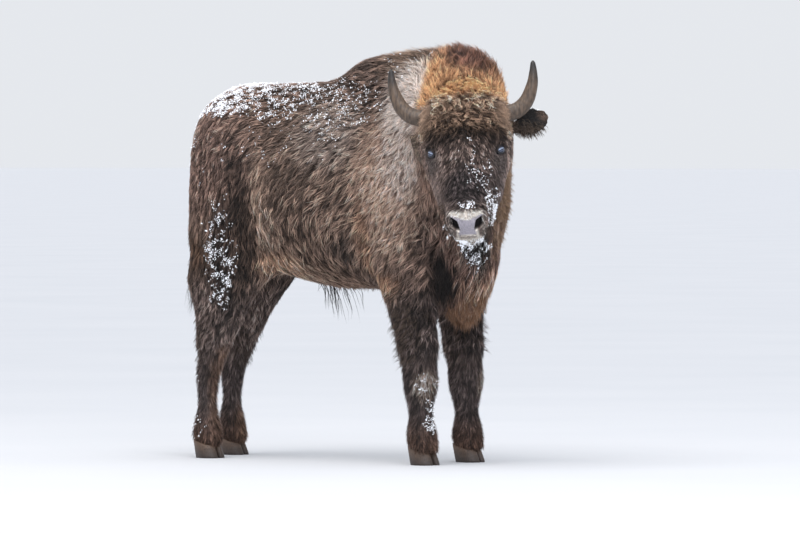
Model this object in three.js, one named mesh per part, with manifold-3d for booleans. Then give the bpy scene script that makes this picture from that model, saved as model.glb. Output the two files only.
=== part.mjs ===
// A life-size model of a European bison about two and a half years old, in its winter coat.
// It stands square on level ground with its head turned to its own right.
// Every flesh solid reaches out to the tips of the coat. Units are millimetres and +Z is up.
// The animal faces -Y, so its left side is +X, and the soles of its hooves lie on Z = 0.
import * as THREE from "three";
import { mergeVertices } from "three/addons/utils/BufferGeometryUtils.js";
import Module from "manifold-3d";

const wasm = await Module();
wasm.setup();
const { Manifold, Mesh: SolidMesh } = wasm;

// ---- Driving dimensions ----------------------------------------------------------------

const HUMP_TOP = 1408; // height of the coat over the withers
const RUMP_TOP = 1300; // height of the coat over the loin and hips
const BELLY = 590; // height of the belly line
const FOOT_SPACING = 280; // between the left and right front feet, centre to centre
const HIND_SPACING = 262; // between the left and right hind feet
const FRONT_STEP = -16; // how much further back the left front foot stands
const HIND_FOOT = -925; // how far the right hind foot stands behind the front feet
const HIND_STEP = -100; // how much further back the left hind foot stands
const KNEE = 276; // height of the knee of a front leg
const HOCK = 388; // height of the hock
const FETLOCK = 108; // height of the fetlock joints
const HEAD_LENGTH = 470; // from the poll to the tip of the nose
const EYE_SPACING = 218; // between the centres of the eyeballs
const EYE_RADIUS = 20;
const HORN_SPREAD = 238; // from the middle of the head to the outside of a horn
const HEAD_TURN = 58; // degrees that the face turns to the animal's right
const NECK_TURN = 53; // degrees that the neck bends to the right
const FACE_SLOPE = 31; // degrees that the line of the face leans forward of vertical
const HEAD_ROLL = 3.5; // degrees that the head tips towards its right side
const GAP = 0.4; // clearance between neighbouring solids

// Sides of one cell of the sampling grid, for each part of the body.
const TRUNK_CELL = new THREE.Vector3(62, 74, 65);
const HEAD_CELL = new THREE.Vector3(38, 35, 36);
const FRONT_LEG_CELL = new THREE.Vector3(36, 40, 55);
const HIND_LEG_CELL = new THREE.Vector3(44, 47, 57);

// ---- Frames ----------------------------------------------------------------------------

const degrees = THREE.MathUtils.degToRad;

/** A point of the body: how far in front of the front feet, to the animal's left, and up. */
const at = (fore, left, up) => new THREE.Vector3(left, -fore, up);

/** The level direction that is turned to the animal's right from straight ahead. */
const turned = (angle) => new THREE.Vector3(-Math.sin(degrees(angle)), -Math.cos(degrees(angle)), 0);

const UP = new THREE.Vector3(0, 0, 1);
const FACING = turned(HEAD_TURN);
const NECK_WAY = turned(NECK_TURN);
const POLL = at(286, -280, 1212);

/** The head's own frame: X runs from the poll to the nose, Y to the left, Z out of the face. */
const headFrame = (() => {
  const slope = degrees(FACE_SLOPE);
  const along = FACING.clone().multiplyScalar(Math.sin(slope)).addScaledVector(UP, -Math.cos(slope));
  const out = FACING.clone().multiplyScalar(Math.cos(slope)).addScaledVector(UP, Math.sin(slope));
  const left = out.clone().cross(along);
  const upright = new THREE.Matrix4().makeBasis(along, left, out);
  const roll = new THREE.Matrix4().makeRotationAxis(FACING, degrees(HEAD_ROLL));
  return roll.multiply(upright).setPosition(POLL);
})();

/** A point of the head, in body coordinates. */
const onHead = (along, left, out) => new THREE.Vector3(along, left, out).applyMatrix4(headFrame);

// ---- Signed distance masses ------------------------------------------------------------

/** An ellipsoid with its semi-axes along the axes of a frame. */
function ellipsoidIn(frame, centre, radii) {
  const inverse = frame.clone().invert();
  const middle = centre.clone().applyMatrix4(inverse);
  const local = new THREE.Vector3();
  return (p) => {
    local.copy(p).applyMatrix4(inverse).sub(middle);
    const near = Math.hypot(local.x / radii[0], local.y / radii[1], local.z / radii[2]);
    const slope = Math.hypot(local.x / radii[0] ** 2, local.y / radii[1] ** 2, local.z / radii[2] ** 2);
    return (near * (near - 1)) / Math.max(slope, 1e-9);
  };
}

/** An ellipsoid of the body: radii are side to side, fore and aft, and upright; lean tips its top forward. */
function muscle(centre, radii, lean = 0) {
  return ellipsoidIn(new THREE.Matrix4().makeRotationX(degrees(lean)), centre, radii);
}

/** An ellipsoid of the head: radii are along the face, side to side, and out of the face. */
const headMass = (along, left, out, radii) => ellipsoidIn(headFrame, onHead(along, left, out), radii);

/** A tapered limb between two points, narrowed or widened across by a share of its depth. */
function limb(start, end, startRadius, endRadius, breadth = 1, across = new THREE.Vector3(1, 0, 0)) {
  const axis = end.clone().sub(start);
  const square = axis.lengthSq();
  const away = new THREE.Vector3();
  return (p) => {
    away.copy(p).sub(start);
    const share = THREE.MathUtils.clamp(away.dot(axis) / square, 0, 1);
    away.addScaledVector(axis, -share);
    const side = away.dot(across);
    away.addScaledVector(across, side / breadth - side);
    return away.length() - THREE.MathUtils.lerp(startRadius, endRadius, share);
  };
}

/** Joins two distances with a fillet about as wide as the reach. */
function fillet(a, b, reach) {
  const h = Math.max(reach - Math.abs(a - b), 0) / reach;
  return Math.min(a, b) - (h * h * reach) / 4;
}

/** Joins masses one after another, each with its own fillet. */
function joined(masses) {
  return (p) => masses.reduce((sum, [mass, reach]) => fillet(sum, mass(p), reach), 1e4);
}

/** A smooth value between the stations of a profile, from the share of the way between two of them. */
function between(stations, key, fore) {
  const last = stations.length - 1;
  let i = 0;
  while (i < last - 1 && fore > stations[i + 1].fore) i++;
  const [a, b, c, d] = [i - 1, i, i + 1, i + 2].map((n) => stations[THREE.MathUtils.clamp(n, 0, last)]);
  const t = THREE.MathUtils.clamp((fore - b.fore) / (c.fore - b.fore), 0, 1);
  const span = c.fore - b.fore;
  const slopeB = a === b ? (c[key] - b[key]) / span : (c[key] - a[key]) / (c.fore - a.fore);
  const slopeC = c === d ? (c[key] - b[key]) / span : (d[key] - b[key]) / (d.fore - b.fore);
  const [t2, t3] = [t * t, t * t * t];
  return (
    (2 * t3 - 3 * t2 + 1) * b[key] +
    (t3 - 2 * t2 + t) * span * slopeB +
    (3 * t2 - 2 * t3) * c[key] +
    (t3 - t2) * span * slopeC
  );
}

// ---- The barrel of the body ------------------------------------------------------------

// Sections of the barrel from the rump to the chest: top and bottom height, half width, and how much
// narrower the top is than the middle.
const BARREL = [
  { fore: -918, top: RUMP_TOP - 28, bottom: 800, wide: 150, peak: 0.1 }, // pin bones
  { fore: -830, top: RUMP_TOP - 4, bottom: 690, wide: 200, peak: 0.12 }, // hips
  { fore: -640, top: RUMP_TOP, bottom: BELLY + 36, wide: 226, peak: 0.16 }, // loin
  { fore: -440, top: RUMP_TOP + 8, bottom: BELLY, wide: 244, peak: 0.2 }, // belly
  { fore: -230, top: RUMP_TOP + 16, bottom: BELLY - 2, wide: 236, peak: 0.26 }, // girth
  { fore: -50, top: RUMP_TOP + 12, bottom: BELLY - 22, wide: 212, peak: 0.28 }, // shoulders
  { fore: 88, top: RUMP_TOP - 60, bottom: BELLY + 50, wide: 170, peak: 0.2 }, // chest
];
const RUMP_ROUND = 92; // how far the rump bulges behind the last section
const CHEST_ROUND = 124; // how far the chest bulges before the first

function barrel(p) {
  const fore = -p.y;
  const first = BARREL[0].fore;
  const last = BARREL[BARREL.length - 1].fore;
  const station = THREE.MathUtils.clamp(fore, first, last);
  const round = fore < station ? RUMP_ROUND : CHEST_ROUND;
  const [top, bottom, wide, peak] = ["top", "bottom", "wide", "peak"].map((k) => between(BARREL, k, station));
  const height = (top - bottom) / 2;
  const rise = (p.z - (top + bottom) / 2) / height;
  const narrow = wide * (1 - peak * THREE.MathUtils.clamp(rise, 0, 1) ** 2);
  const across = Math.abs(p.x) / narrow;
  const beyond = Math.abs(fore - station) / round;
  const section = (across ** 2.3 + Math.abs(rise) ** 2.3) ** (1 / 2.3);
  return (Math.hypot(section, beyond) - 1) * Math.min(narrow, height, round);
}

/** The trunk with its hump, hips, shoulders, neck and brisket. */
function trunkMasses() {
  const masses = [
    [barrel, 1],
    // The hump rises from the middle of the back and runs forward into the neck.
    [limb(at(-262, 0, 1262), at(-60, 0, HUMP_TOP - 128), 118, 114, 0.86), 90],
    [limb(at(-60, 0, HUMP_TOP - 128), at(72, -12, HUMP_TOP - 136), 114, 134, 1), 60],
    // The brisket and its mane hang between the front legs.
    [muscle(at(92, 0, 665), [104, 112, 150], 8), 70],
    [muscle(at(76, 0, 545), [52, 72, 88]), 50],
  ];
  for (const side of [-1, 1]) {
    masses.push(
      [muscle(at(-42, side * 126, 985), [92, 154, 262], 10), 60], // shoulder blade and its muscles
      [limb(at(34, side * 118, 850), at(-74, side * 140, 690), 98, 96, 0.78), 60], // upper arm
      [muscle(at(-800, side * 128, 1130), [92, 150, 130], -10), 80], // hip
    );
  }
  return masses;
}

/** The neck bends to the right as soon as it leaves the hump, and is deep and flat-sided. */
function neckMasses() {
  const left = NECK_WAY.clone().applyAxisAngle(UP, Math.PI / 2);
  return [
    [limb(at(72, -12, HUMP_TOP - 136), at(232, -190, 1182), 134, 122, 1.05, left), 60],
    [limb(at(50, 0, 1100), at(220, -180, 1080), 185, 142, 1.02, left), 80],
    [limb(at(84, -10, 900), at(212, -178, 985), 160, 112, 0.9, left), 80],
    [limb(at(98, -20, 760), at(190, -125, 860), 114, 84, 0.8, left), 70], // throat mane
  ];
}

// ---- Legs ------------------------------------------------------------------------------

/** A front leg from the elbow to the coronet, set back by a step. */
function frontLeg(side, step) {
  const across = (side * FOOT_SPACING) / 2;
  const knee = at(step + 2, across, KNEE);
  const fetlock = at(step + 6, across, FETLOCK);
  return [
    [limb(at(-48, across * 1.04, 640), at(step - 12, across, 400), 96, 72, 0.74), 70],
    [limb(at(step - 12, across, 400), knee, 72, 56, 0.82), 30],
    [muscle(knee, [55, 58, 68]), 30],
    [limb(at(step - 4, across, KNEE - 50), fetlock, 43, 40, 0.98), 34],
    [muscle(at(step + 2, across, FETLOCK), [45, 47, 44]), 30],
    [limb(fetlock, at(step + 20, across, 44), 43, 49, 1.1), 26],
    [muscle(at(-44, across, 560), [52, 66, 110]), 40], // tuft behind the elbow
  ];
}

/** A hind leg from the thigh to the coronet, set back by a step. */
function hindLeg(side, step) {
  const across = (side * HIND_SPACING) / 2;
  const foot = HIND_FOOT + step;
  const hock = at(foot + 26, across, HOCK);
  const fetlock = at(foot - 6, across, FETLOCK);
  return [
    [muscle(at(-830 + step * 0.4, side * 118, 900), [92, 166, 265], 6), 60], // thigh
    // Hamstring, then gaskin.
    [limb(at(-920, side * 82, 1060), at(-922 + step * 0.4, across * 0.95, 640), 86, 78, 0.9), 60],
    [limb(at(-770 + step * 0.8, side * 140, 705), at(foot + 62, across, HOCK + 92), 118, 72, 0.68), 70],
    [limb(at(foot + 62, across, HOCK + 92), hock, 72, 56, 0.76), 30],
    [limb(at(-938 + step * 0.55, across, 600), at(foot - 20, across, HOCK + 26), 66, 34, 0.66), 50], // tendon
    [limb(hock, at(foot - 2, across, HOCK - 96), 54, 42, 0.86), 30],
    [limb(at(foot - 2, across, HOCK - 96), fetlock, 40, 37, 0.92), 24],
    [muscle(fetlock, [42, 45, 43]), 30],
    [limb(fetlock, at(foot + 10, across, 44), 41, 48, 1.06), 26],
  ];
}

// ---- Head ------------------------------------------------------------------------------

const EYE = new THREE.Vector3(152, EYE_SPACING / 2, -50); // of the left eye, on the head
const EYE_AIM = new THREE.Vector3(0.02, 0.64, 0.77); // the way the left eye looks
const NOSTRIL = new THREE.Vector3(HEAD_LENGTH - 40, 42, -36); // of the left nostril

function headMasses() {
  const left = new THREE.Vector3().setFromMatrixColumn(headFrame, 1);
  const masses = [
    [headMass(104, 0, -84, [150, 126, 96]), 40], // brain case and forehead
    [headMass(16, 0, -26, [84, 142, 84]), 40], // mop of hair over the poll
    [headMass(92, 0, -22, [100, 118, 50]), 36], // curls of the forehead
    [limb(onHead(150, 0, -76), onHead(380, 0, -68), 96, 62, 1.06, left), 40], // bridge of the nose
    [headMass(398, 0, -74, [62, 72, 64]), 24], // muzzle
    [headMass(412, 0, -112, [46, 60, 44]), 20], // upper lip
    [headMass(418, 0, -142, [42, 46, 36]), 20], // chin
    [limb(onHead(150, 0, -168), onHead(378, 0, -128), 78, 44, 1, left), 40], // lower jaw
    [headMass(84, 0, -150, [130, 142, 100]), 50], // back of the jaws
  ];
  for (const side of [-1, 1]) {
    masses.push(
      [headMass(140, side * 84, -66, [58, 42, 48]), 26], // brow and eye socket
      [headMass(206, side * 66, -124, [130, 54, 84]), 50], // cheek
      [headMass(50, side * 122, -40, [46, 34, 42]), 22], // tan lock under the horn
      [headMass(NOSTRIL.x - 28, side * 48, -46, [36, 26, 32]), 16], // wing of the nose
    );
  }
  return masses;
}

// ---- From distances to solids ----------------------------------------------------------

/**
 * Samples a distance on a grid that lies in a frame, and returns its surface as a closed solid.
 * Every cell that the surface crosses gives one vertex, which is then evened out and settled on it.
 */
function surfaceOf(distance, frame, low, high, cell) {
  const count = ["x", "y", "z"].map((axis) => Math.ceil((high[axis] - low[axis]) / cell[axis]) + 1);
  const index = (i, j, k) => i + count[0] * (j + count[1] * k);
  const place = (i, j, k) => new THREE.Vector3(i, j, k).multiply(cell).add(low).applyMatrix4(frame);
  const reach = Math.min(cell.x, cell.y, cell.z) * 0.4;
  const values = new Float32Array(count[0] * count[1] * count[2]);
  for (let k = 0; k < count[2]; k++)
    for (let j = 0; j < count[1]; j++)
      for (let i = 0; i < count[0]; i++) {
        const rim = [i, j, k].some((n, axis) => n === 0 || n === count[axis] - 1);
        values[index(i, j, k)] = rim ? reach : distance(place(i, j, k));
      }

  const vertices = [];
  const loose = [];
  const vertexOf = new Map();
  for (let k = 0; k < count[2] - 1; k++)
    for (let j = 0; j < count[1] - 1; j++)
      for (let i = 0; i < count[0] - 1; i++) {
        const sum = new THREE.Vector3();
        let crossings = 0;
        for (let a = 0; a < 8; a++)
          for (const bit of [1, 2, 4]) {
            if (a & bit) continue;
            const [from, to] = [a, a | bit].map((c) => [i + (c & 1), j + ((c >> 1) & 1), k + (c >> 2)]);
            const [u, v] = [values[index(...from)], values[index(...to)]];
            if (u < 0 === v < 0) continue;
            sum.add(place(...from).lerp(place(...to), u / (u - v)));
            crossings++;
          }
        if (!crossings) continue;
        vertexOf.set(index(i, j, k), vertices.length);
        loose.push([i, j, k].every((n, axis) => n > 0 && n < count[axis] - 2));
        vertices.push(sum.divideScalar(crossings));
      }

  const quads = [];
  const join = (outward, ...cells) => quads.push(outward ? cells : cells.reverse());
  for (let k = 0; k < count[2] - 1; k++)
    for (let j = 0; j < count[1] - 1; j++)
      for (let i = 0; i < count[0] - 1; i++) {
        const inside = values[index(i, j, k)] < 0;
        const by = (di, dj, dk) => vertexOf.get(index(i - di, j - dj, k - dk));
        if (j && k && inside !== values[index(i + 1, j, k)] < 0)
          join(inside, by(0, 1, 1), by(0, 0, 1), by(0, 0, 0), by(0, 1, 0));
        if (i && k && inside !== values[index(i, j + 1, k)] < 0)
          join(inside, by(1, 0, 1), by(1, 0, 0), by(0, 0, 0), by(0, 0, 1));
        if (i && j && inside !== values[index(i, j, k + 1)] < 0)
          join(inside, by(1, 1, 0), by(0, 1, 0), by(0, 0, 0), by(1, 0, 0));
      }

  const evened = settledMesh(vertices, quads, loose, distance, reach);
  const triVerts = quads.flatMap(([a, b, c, d]) => {
    const short = evened[a].distanceTo(evened[c]) < evened[b].distanceTo(evened[d]);
    return short ? [a, b, c, a, c, d] : [b, c, d, b, d, a];
  });
  const vertProperties = Float32Array.from(evened.flatMap((v) => v.toArray()));
  return new Manifold(new SolidMesh({ numProp: 3, vertProperties, triVerts: Uint32Array.from(triVerts) }));
}

/** Evens out the vertices of a mesh along its surface, and keeps each one on the surface. */
function settledMesh(vertices, quads, loose, distance, reach) {
  let places = vertices.map((v, n) => (loose[n] ? settled(v, distance, reach) : v));
  for (let round = 0; round < 3; round++) {
    const sums = places.map(() => new THREE.Vector3());
    const counts = places.map(() => 0);
    for (const quad of quads)
      quad.forEach((n, corner) => {
        sums[n].add(places[quad[(corner + 1) % 4]]).add(places[quad[(corner + 3) % 4]]);
        counts[n] += 2;
      });
    places = places.map((v, n) =>
      loose[n] ? settled(v.clone().lerp(sums[n].divideScalar(counts[n]), 0.5), distance, reach) : v,
    );
  }
  return places;
}

/** The place on the surface that a vertex slides to down the slope of the distance. */
function settled(vertex, distance, reach) {
  const place = vertex.clone();
  for (let step = 0; step < 3; step++) {
    const value = distance(place);
    const slope = new THREE.Vector3(
      distance(place.clone().setX(place.x + 1)) - value,
      distance(place.clone().setY(place.y + 1)) - value,
      distance(place.clone().setZ(place.z + 1)) - value,
    );
    place.addScaledVector(slope, -value / Math.max(slope.lengthSq(), 0.1));
  }
  return vertex.clone().add(place.sub(vertex).clampLength(0, reach));
}

/** A three.js geometry, placed by a matrix, as a closed solid. */
function solidOf(geometry, matrix = new THREE.Matrix4()) {
  const bare = new THREE.BufferGeometry().setAttribute("position", geometry.getAttribute("position").clone());
  if (geometry.index) bare.setIndex(geometry.index.clone());
  const merged = mergeVertices(bare.applyMatrix4(matrix), 1e-3);
  const faces = merged.index.array;
  const kept = [];
  for (let n = 0; n < faces.length; n += 3) {
    const [a, b, c] = faces.subarray(n, n + 3);
    if (a !== b && b !== c && c !== a) kept.push(a, b, c);
  }
  const vertProperties = Float32Array.from(merged.attributes.position.array);
  const made = new Manifold(new SolidMesh({ numProp: 3, vertProperties, triVerts: Uint32Array.from(kept) }));
  if (made.volume() > 0) return made;
  return new Manifold(
    new SolidMesh({ numProp: 3, vertProperties, triVerts: Uint32Array.from(kept.reverse()) }),
  );
}

/** A closed solid as a named mesh with its material. Scraps cut loose from the main body are dropped. */
function nodeOf(name, solid, material) {
  const whole = solid.decompose().reduce((most, piece) => (piece.volume() > most.volume() ? piece : most));
  const data = whole.getMesh();
  const geometry = new THREE.BufferGeometry();
  geometry.setAttribute("position", new THREE.BufferAttribute(Float32Array.from(data.vertProperties), 3));
  geometry.setIndex(new THREE.BufferAttribute(Uint32Array.from(data.triVerts), 1));
  geometry.computeVertexNormals();
  const mesh = new THREE.Mesh(geometry, material);
  mesh.name = name;
  return mesh;
}

/** A box between two corners, grown on all sides by a margin. */
function block(low, high, margin = 0) {
  const box = new THREE.Box3().setFromPoints([low, high]).expandByScalar(margin);
  const size = box.getSize(new THREE.Vector3());
  const place = new THREE.Matrix4().setPosition(box.getCenter(new THREE.Vector3()));
  return solidOf(new THREE.BoxGeometry(size.x, size.y, size.z), place);
}

/** A very large box that fills the side of a plane its normal points to, starting a margin before it. */
function beyond(point, normal, margin = 0) {
  const reach = 4000;
  const turn = new THREE.Quaternion().setFromUnitVectors(UP, normal.clone().normalize());
  const start = point.clone().addScaledVector(normal.clone().normalize(), reach / 2 - margin);
  const place = new THREE.Matrix4().compose(start, turn, new THREE.Vector3(1, 1, 1));
  return solidOf(new THREE.BoxGeometry(reach, reach, reach), place);
}

// ---- Swept and shaped pieces -----------------------------------------------------------

/** A lathe profile bent along a curve: radius is a function of the share of the way along it. */
function bentLathe(curve, radius, steps, sides, breadth = 1) {
  const profile = [];
  for (let n = 0; n <= steps; n++) profile.push(new THREE.Vector2(radius(n / steps), n / steps));
  profile[0].x = 0;
  profile[steps].x = 0;
  profile.splice(1, 0, new THREE.Vector2(radius(0), 0.001));
  const geometry = new THREE.LatheGeometry(profile, sides);
  const frames = curve.computeFrenetFrames(steps, false);
  const places = geometry.getAttribute("position");
  const point = new THREE.Vector3();
  for (let n = 0; n < places.count; n++) {
    point.fromBufferAttribute(places, n);
    const share = THREE.MathUtils.clamp(point.y, 0, 1);
    const frame = Math.round(share * steps);
    const moved = curve
      .getPointAt(share)
      .addScaledVector(frames.normals[frame], point.x)
      .addScaledVector(frames.binormals[frame], point.z * breadth);
    places.setXYZ(n, moved.x, moved.y, moved.z);
  }
  return solidOf(geometry);
}

/** A horn: out from the side of the poll, then upright, with its tip turned in. */
function horn(side, grow = 0) {
  const root = new THREE.Vector3(26, side * 96, -24);
  const slope = degrees(FACE_SLOPE);
  const upward = new THREE.Vector3(-Math.cos(slope), 0, Math.sin(slope));
  const step = (left, up) => root.clone().setY(side * left).addScaledVector(upward, up);
  const points = [
    root,
    step(HORN_SPREAD - 72, 6),
    step(HORN_SPREAD - 31, 36),
    step(HORN_SPREAD - 8, 88),
    step(HORN_SPREAD - 1, 130),
    step(HORN_SPREAD, 172),
  ].map((p) => p.applyMatrix4(headFrame));
  const curve = new THREE.CatmullRomCurve3(points);
  const radius = (share) => 31 - 9 * share - 15 * share ** 3 + grow;
  return bentLathe(curve, radius, 11, 9);
}

/** An ear: a leaf of skin and hair, cupped towards its opening. */
function ear(side, grow = 0) {
  // The left ear is pricked, out and upwards. The right one is laid back along the neck.
  const stance =
    side > 0
      ? { root: [46, 154, -98], out: [-0.46, 0.87, -0.12], opening: [0.3, 0.1, 0.95], half: 72, wide: 48 }
      : { root: [52, -138, -98], out: [0.1, -0.42, -0.9], opening: [0.35, -0.85, 0.35], half: 64, wide: 56 };
  const [length, width, thickness] = [stance.half, stance.wide, 14].map((size) => size + grow);
  const leaf = new THREE.SphereGeometry(1, 14, 8);
  const places = leaf.getAttribute("position");
  const point = new THREE.Vector3();
  for (let n = 0; n < places.count; n++) {
    point.fromBufferAttribute(places, n);
    const cup = 30 * point.x ** 2 - 8;
    const taper = 1 - 0.3 * point.y ** 2;
    places.setXYZ(n, point.x * width * taper, point.y * length, point.z * thickness + cup);
  }
  const ways = [stance.root, stance.out, stance.opening];
  const [centre, out, opening] = ways.map((v) => new THREE.Vector3(...v));
  out.normalize();
  opening.addScaledVector(out, -opening.dot(out)).normalize();
  const frame = new THREE.Matrix4().makeBasis(out.clone().cross(opening), out, opening);
  frame.setPosition(centre.addScaledVector(out, stance.half - 6));
  return solidOf(leaf, headFrame.clone().multiply(frame));
}

/** The place and bearing of something on one side of the head, with Z along its aim. */
function onSide(side, place, aim) {
  const [centre, way] = [place, aim].map((v) => v.clone().setY(v.y * side));
  const turn = new THREE.Quaternion().setFromUnitVectors(UP, way.normalize());
  return headFrame.clone().multiply(new THREE.Matrix4().compose(centre, turn, new THREE.Vector3(1, 1, 1)));
}

function eyeball(side, grow = 0) {
  return solidOf(new THREE.SphereGeometry(EYE_RADIUS + grow, 10, 6), onSide(side, EYE, EYE_AIM));
}

/** The hollow between the lids, open to the front of the eye. */
function eyeSocket(side) {
  const opening = new THREE.SphereGeometry(1, 10, 8).scale(25, 23, 34);
  return solidOf(opening, onSide(side, EYE.clone().addScaledVector(EYE_AIM, 22), EYE_AIM));
}

/** The hollow of a nostril, a comma that opens outward and forward. */
function nostril(side) {
  const opening = new THREE.SphereGeometry(1, 8, 6).scale(15, 10, 18);
  const aim = new THREE.Vector3(0.74, 0.4, 0.54);
  return solidOf(opening, onSide(side, NOSTRIL, aim));
}

/** A hanging lock of long hair: from its root straight down to a point. */
function hangingLock(root, length, radius, breadth, steps, sides, lean = 0) {
  const tip = root.clone().add(new THREE.Vector3(0, lean, -length));
  const middle = root.clone().lerp(tip, 0.5).add(new THREE.Vector3(0, lean * 0.1, 0));
  const curve = new THREE.QuadraticBezierCurve3(root, middle, tip);
  const shape = (share) => radius * (1 - 0.86 * share ** 1.5);
  return bentLathe(curve, shape, steps, sides, breadth);
}

/** The tail hangs close behind the rump and swings a little to the right. */
function tail(grow = 0) {
  const curve = new THREE.CatmullRomCurve3([
    at(-930, 0, 1226),
    at(-1004, 0, 1196),
    at(-1026, -6, 1080),
    at(-1034, -28, 860),
    at(-1034, -48, 640),
  ]);
  return bentLathe(curve, (share) => 29 - 9 * share + grow, 10, 8);
}

function tailTassel() {
  const curve = new THREE.CatmullRomCurve3([at(-1034, -46, 664), at(-1036, -56, 560), at(-1036, -60, 440)]);
  return bentLathe(curve, (share) => 25 + 44 * share * (1 - share) - 17 * share, 8, 8);
}

/** One claw of a cloven hoof: a block with a rounded toe, narrowing upwards to the coronet. */
function claw(foot, inner, toeOut) {
  const [length, width, height] = [96, 47, 90];
  const outline = new THREE.Shape();
  outline.moveTo(0, -length / 2);
  outline.lineTo(width * 0.55, -length * 0.46);
  outline.quadraticCurveTo(width * 1.02, -length * 0.1, width * 0.95, length * 0.12);
  outline.quadraticCurveTo(width * 0.8, length * 0.44, width * 0.22, length / 2);
  outline.quadraticCurveTo(width * 0.02, length * 0.36, 0, length * 0.12);
  outline.closePath();
  const extent = { depth: height, steps: 2, bevelEnabled: false, curveSegments: 4 };
  const geometry = new THREE.ExtrudeGeometry(outline, extent);
  const places = geometry.getAttribute("position");
  for (let n = 0; n < places.count; n++) {
    const rise = places.getZ(n) / height;
    const narrow = 1 - 0.16 * rise;
    const [across, back] = [places.getX(n) * narrow + 1.4, 30 * rise - places.getY(n) * narrow];
    places.setXYZ(n, inner * across, back, rise * height);
  }
  const place = new THREE.Matrix4().makeRotationZ(degrees(toeOut)).setPosition(foot);
  return solidOf(geometry, place);
}

/** A small hoof behind the fetlock, grown out of the leg. */
function dewclaw(foot, side) {
  const centre = foot.clone().add(at(-55, side * 22, 84));
  const place = new THREE.Matrix4().makeRotationX(degrees(-28)).setPosition(centre);
  const bud = new THREE.SphereGeometry(1, 6, 4).scale(12, 14, 21);
  return solidOf(bud, place);
}

// ---- Materials -------------------------------------------------------------------------

const finish = (color, roughness) => new THREE.MeshStandardMaterial({ color, roughness, metalness: 0 });
const COAT = finish("#6a5548", 0.95);
const DARK_COAT = finish("#3d302a", 0.95);
const RUST_COAT = finish("#8a5a38", 0.95);
const HORN = finish("#6f6a5c", 0.5);
const HOOF = finish("#4a403a", 0.6);
const EYE_GLOSS = finish("#15110f", 0.1);

// ---- Assembly --------------------------------------------------------------------------

/** Where a foot stands, and the masses of the leg above it. */
function footOf(name, side, fore, spacing, toeOut, masses) {
  return { name, side, hind: name.startsWith("hind"), at: at(fore, (side * spacing) / 2, 0), toeOut, masses };
}

const FEET = [
  footOf("front_left", 1, FRONT_STEP + 20, FOOT_SPACING, 3, frontLeg(1, FRONT_STEP)),
  footOf("front_right", -1, 20, FOOT_SPACING, -5, frontLeg(-1, 0)),
  footOf("hind_left", 1, HIND_FOOT + HIND_STEP + 10, HIND_SPACING, 5, hindLeg(1, HIND_STEP)),
  footOf("hind_right", -1, HIND_FOOT + 10, HIND_SPACING, -5, hindLeg(-1, 0)),
];

const bodyMasses = [...trunkMasses(), ...neckMasses(), ...FEET.flatMap((foot) => foot.masses)];
const bodyAlone = joined(bodyMasses);
const headAlone = joined(headMasses());
const flesh = (p) => fillet(headAlone(p), bodyAlone(p), 46);

// The planes that part the head from the neck and the neck from the trunk.
const occiput = at(80, -20, 1100).addScaledVector(NECK_WAY, 212);
const withers = at(22, 0, HUMP_TOP);
const neckNormal = at(0.64, -0.6, 0.24).normalize();

/** The part of space that one leg fills: below a sloping cut, and beside the brisket or the other leg. */
function legZone(foot, margin) {
  const outer = foot.side * 420;
  if (foot.hind) {
    const inner = foot.side * 3;
    const haunch = block(at(-1180, inner, -100), at(-560, outer, 1000), margin);
    return haunch.subtract(beyond(at(-600, 0, 640), at(0.42, 0, 1), -margin));
  }
  const inner = foot.side * 53;
  const lower = block(at(-300, inner, -100), at(300, outer, 470), margin);
  const upper = block(at(-300, inner, 400), at(66, outer, 800), margin);
  return lower.add(upper).subtract(beyond(at(-250, 0, 598), at(-0.16, 0, 1), -margin));
}

/** The space below the hair of the coronet, which slopes down to the heel. */
function hoofZone(foot, margin) {
  const slope = new THREE.Vector3(0, 0.26, -1);
  return beyond(foot.at.clone().setZ(50), slope, margin);
}

const group = new THREE.Group();
const still = new THREE.Matrix4();

// Trunk and neck come from one surface, parted by planes.
const wholeBody = surfaceOf(flesh, still, at(520, -400, 380), at(-1230, 400, 1540), TRUNK_CELL);
let trunk = wholeBody.subtract(beyond(withers, neckNormal, GAP / 2));
let neck = wholeBody.intersect(beyond(withers, neckNormal, -GAP / 2));
neck = neck.subtract(beyond(occiput, NECK_WAY, GAP / 2));
for (const foot of FEET) {
  trunk = trunk.subtract(legZone(foot, GAP / 2));
  neck = neck.subtract(legZone(foot, GAP / 2));
}
trunk = trunk.subtract(tail(GAP));
const bellyTuft = hangingLock(at(-505, 0, BELLY + 26), 112, 26, 0.8, 5, 8);
trunk = trunk.subtract(hangingLock(at(-505, 0, BELLY + 26.4), 112, 26.4, 0.8, 5, 8));

group.add(nodeOf("trunk", trunk, COAT));
group.add(nodeOf("belly_tuft", bellyTuft, DARK_COAT));
group.add(nodeOf("tail", tail(), COAT));
group.add(nodeOf("tail_tassel", tailTassel().subtract(tail(GAP)), DARK_COAT));

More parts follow.
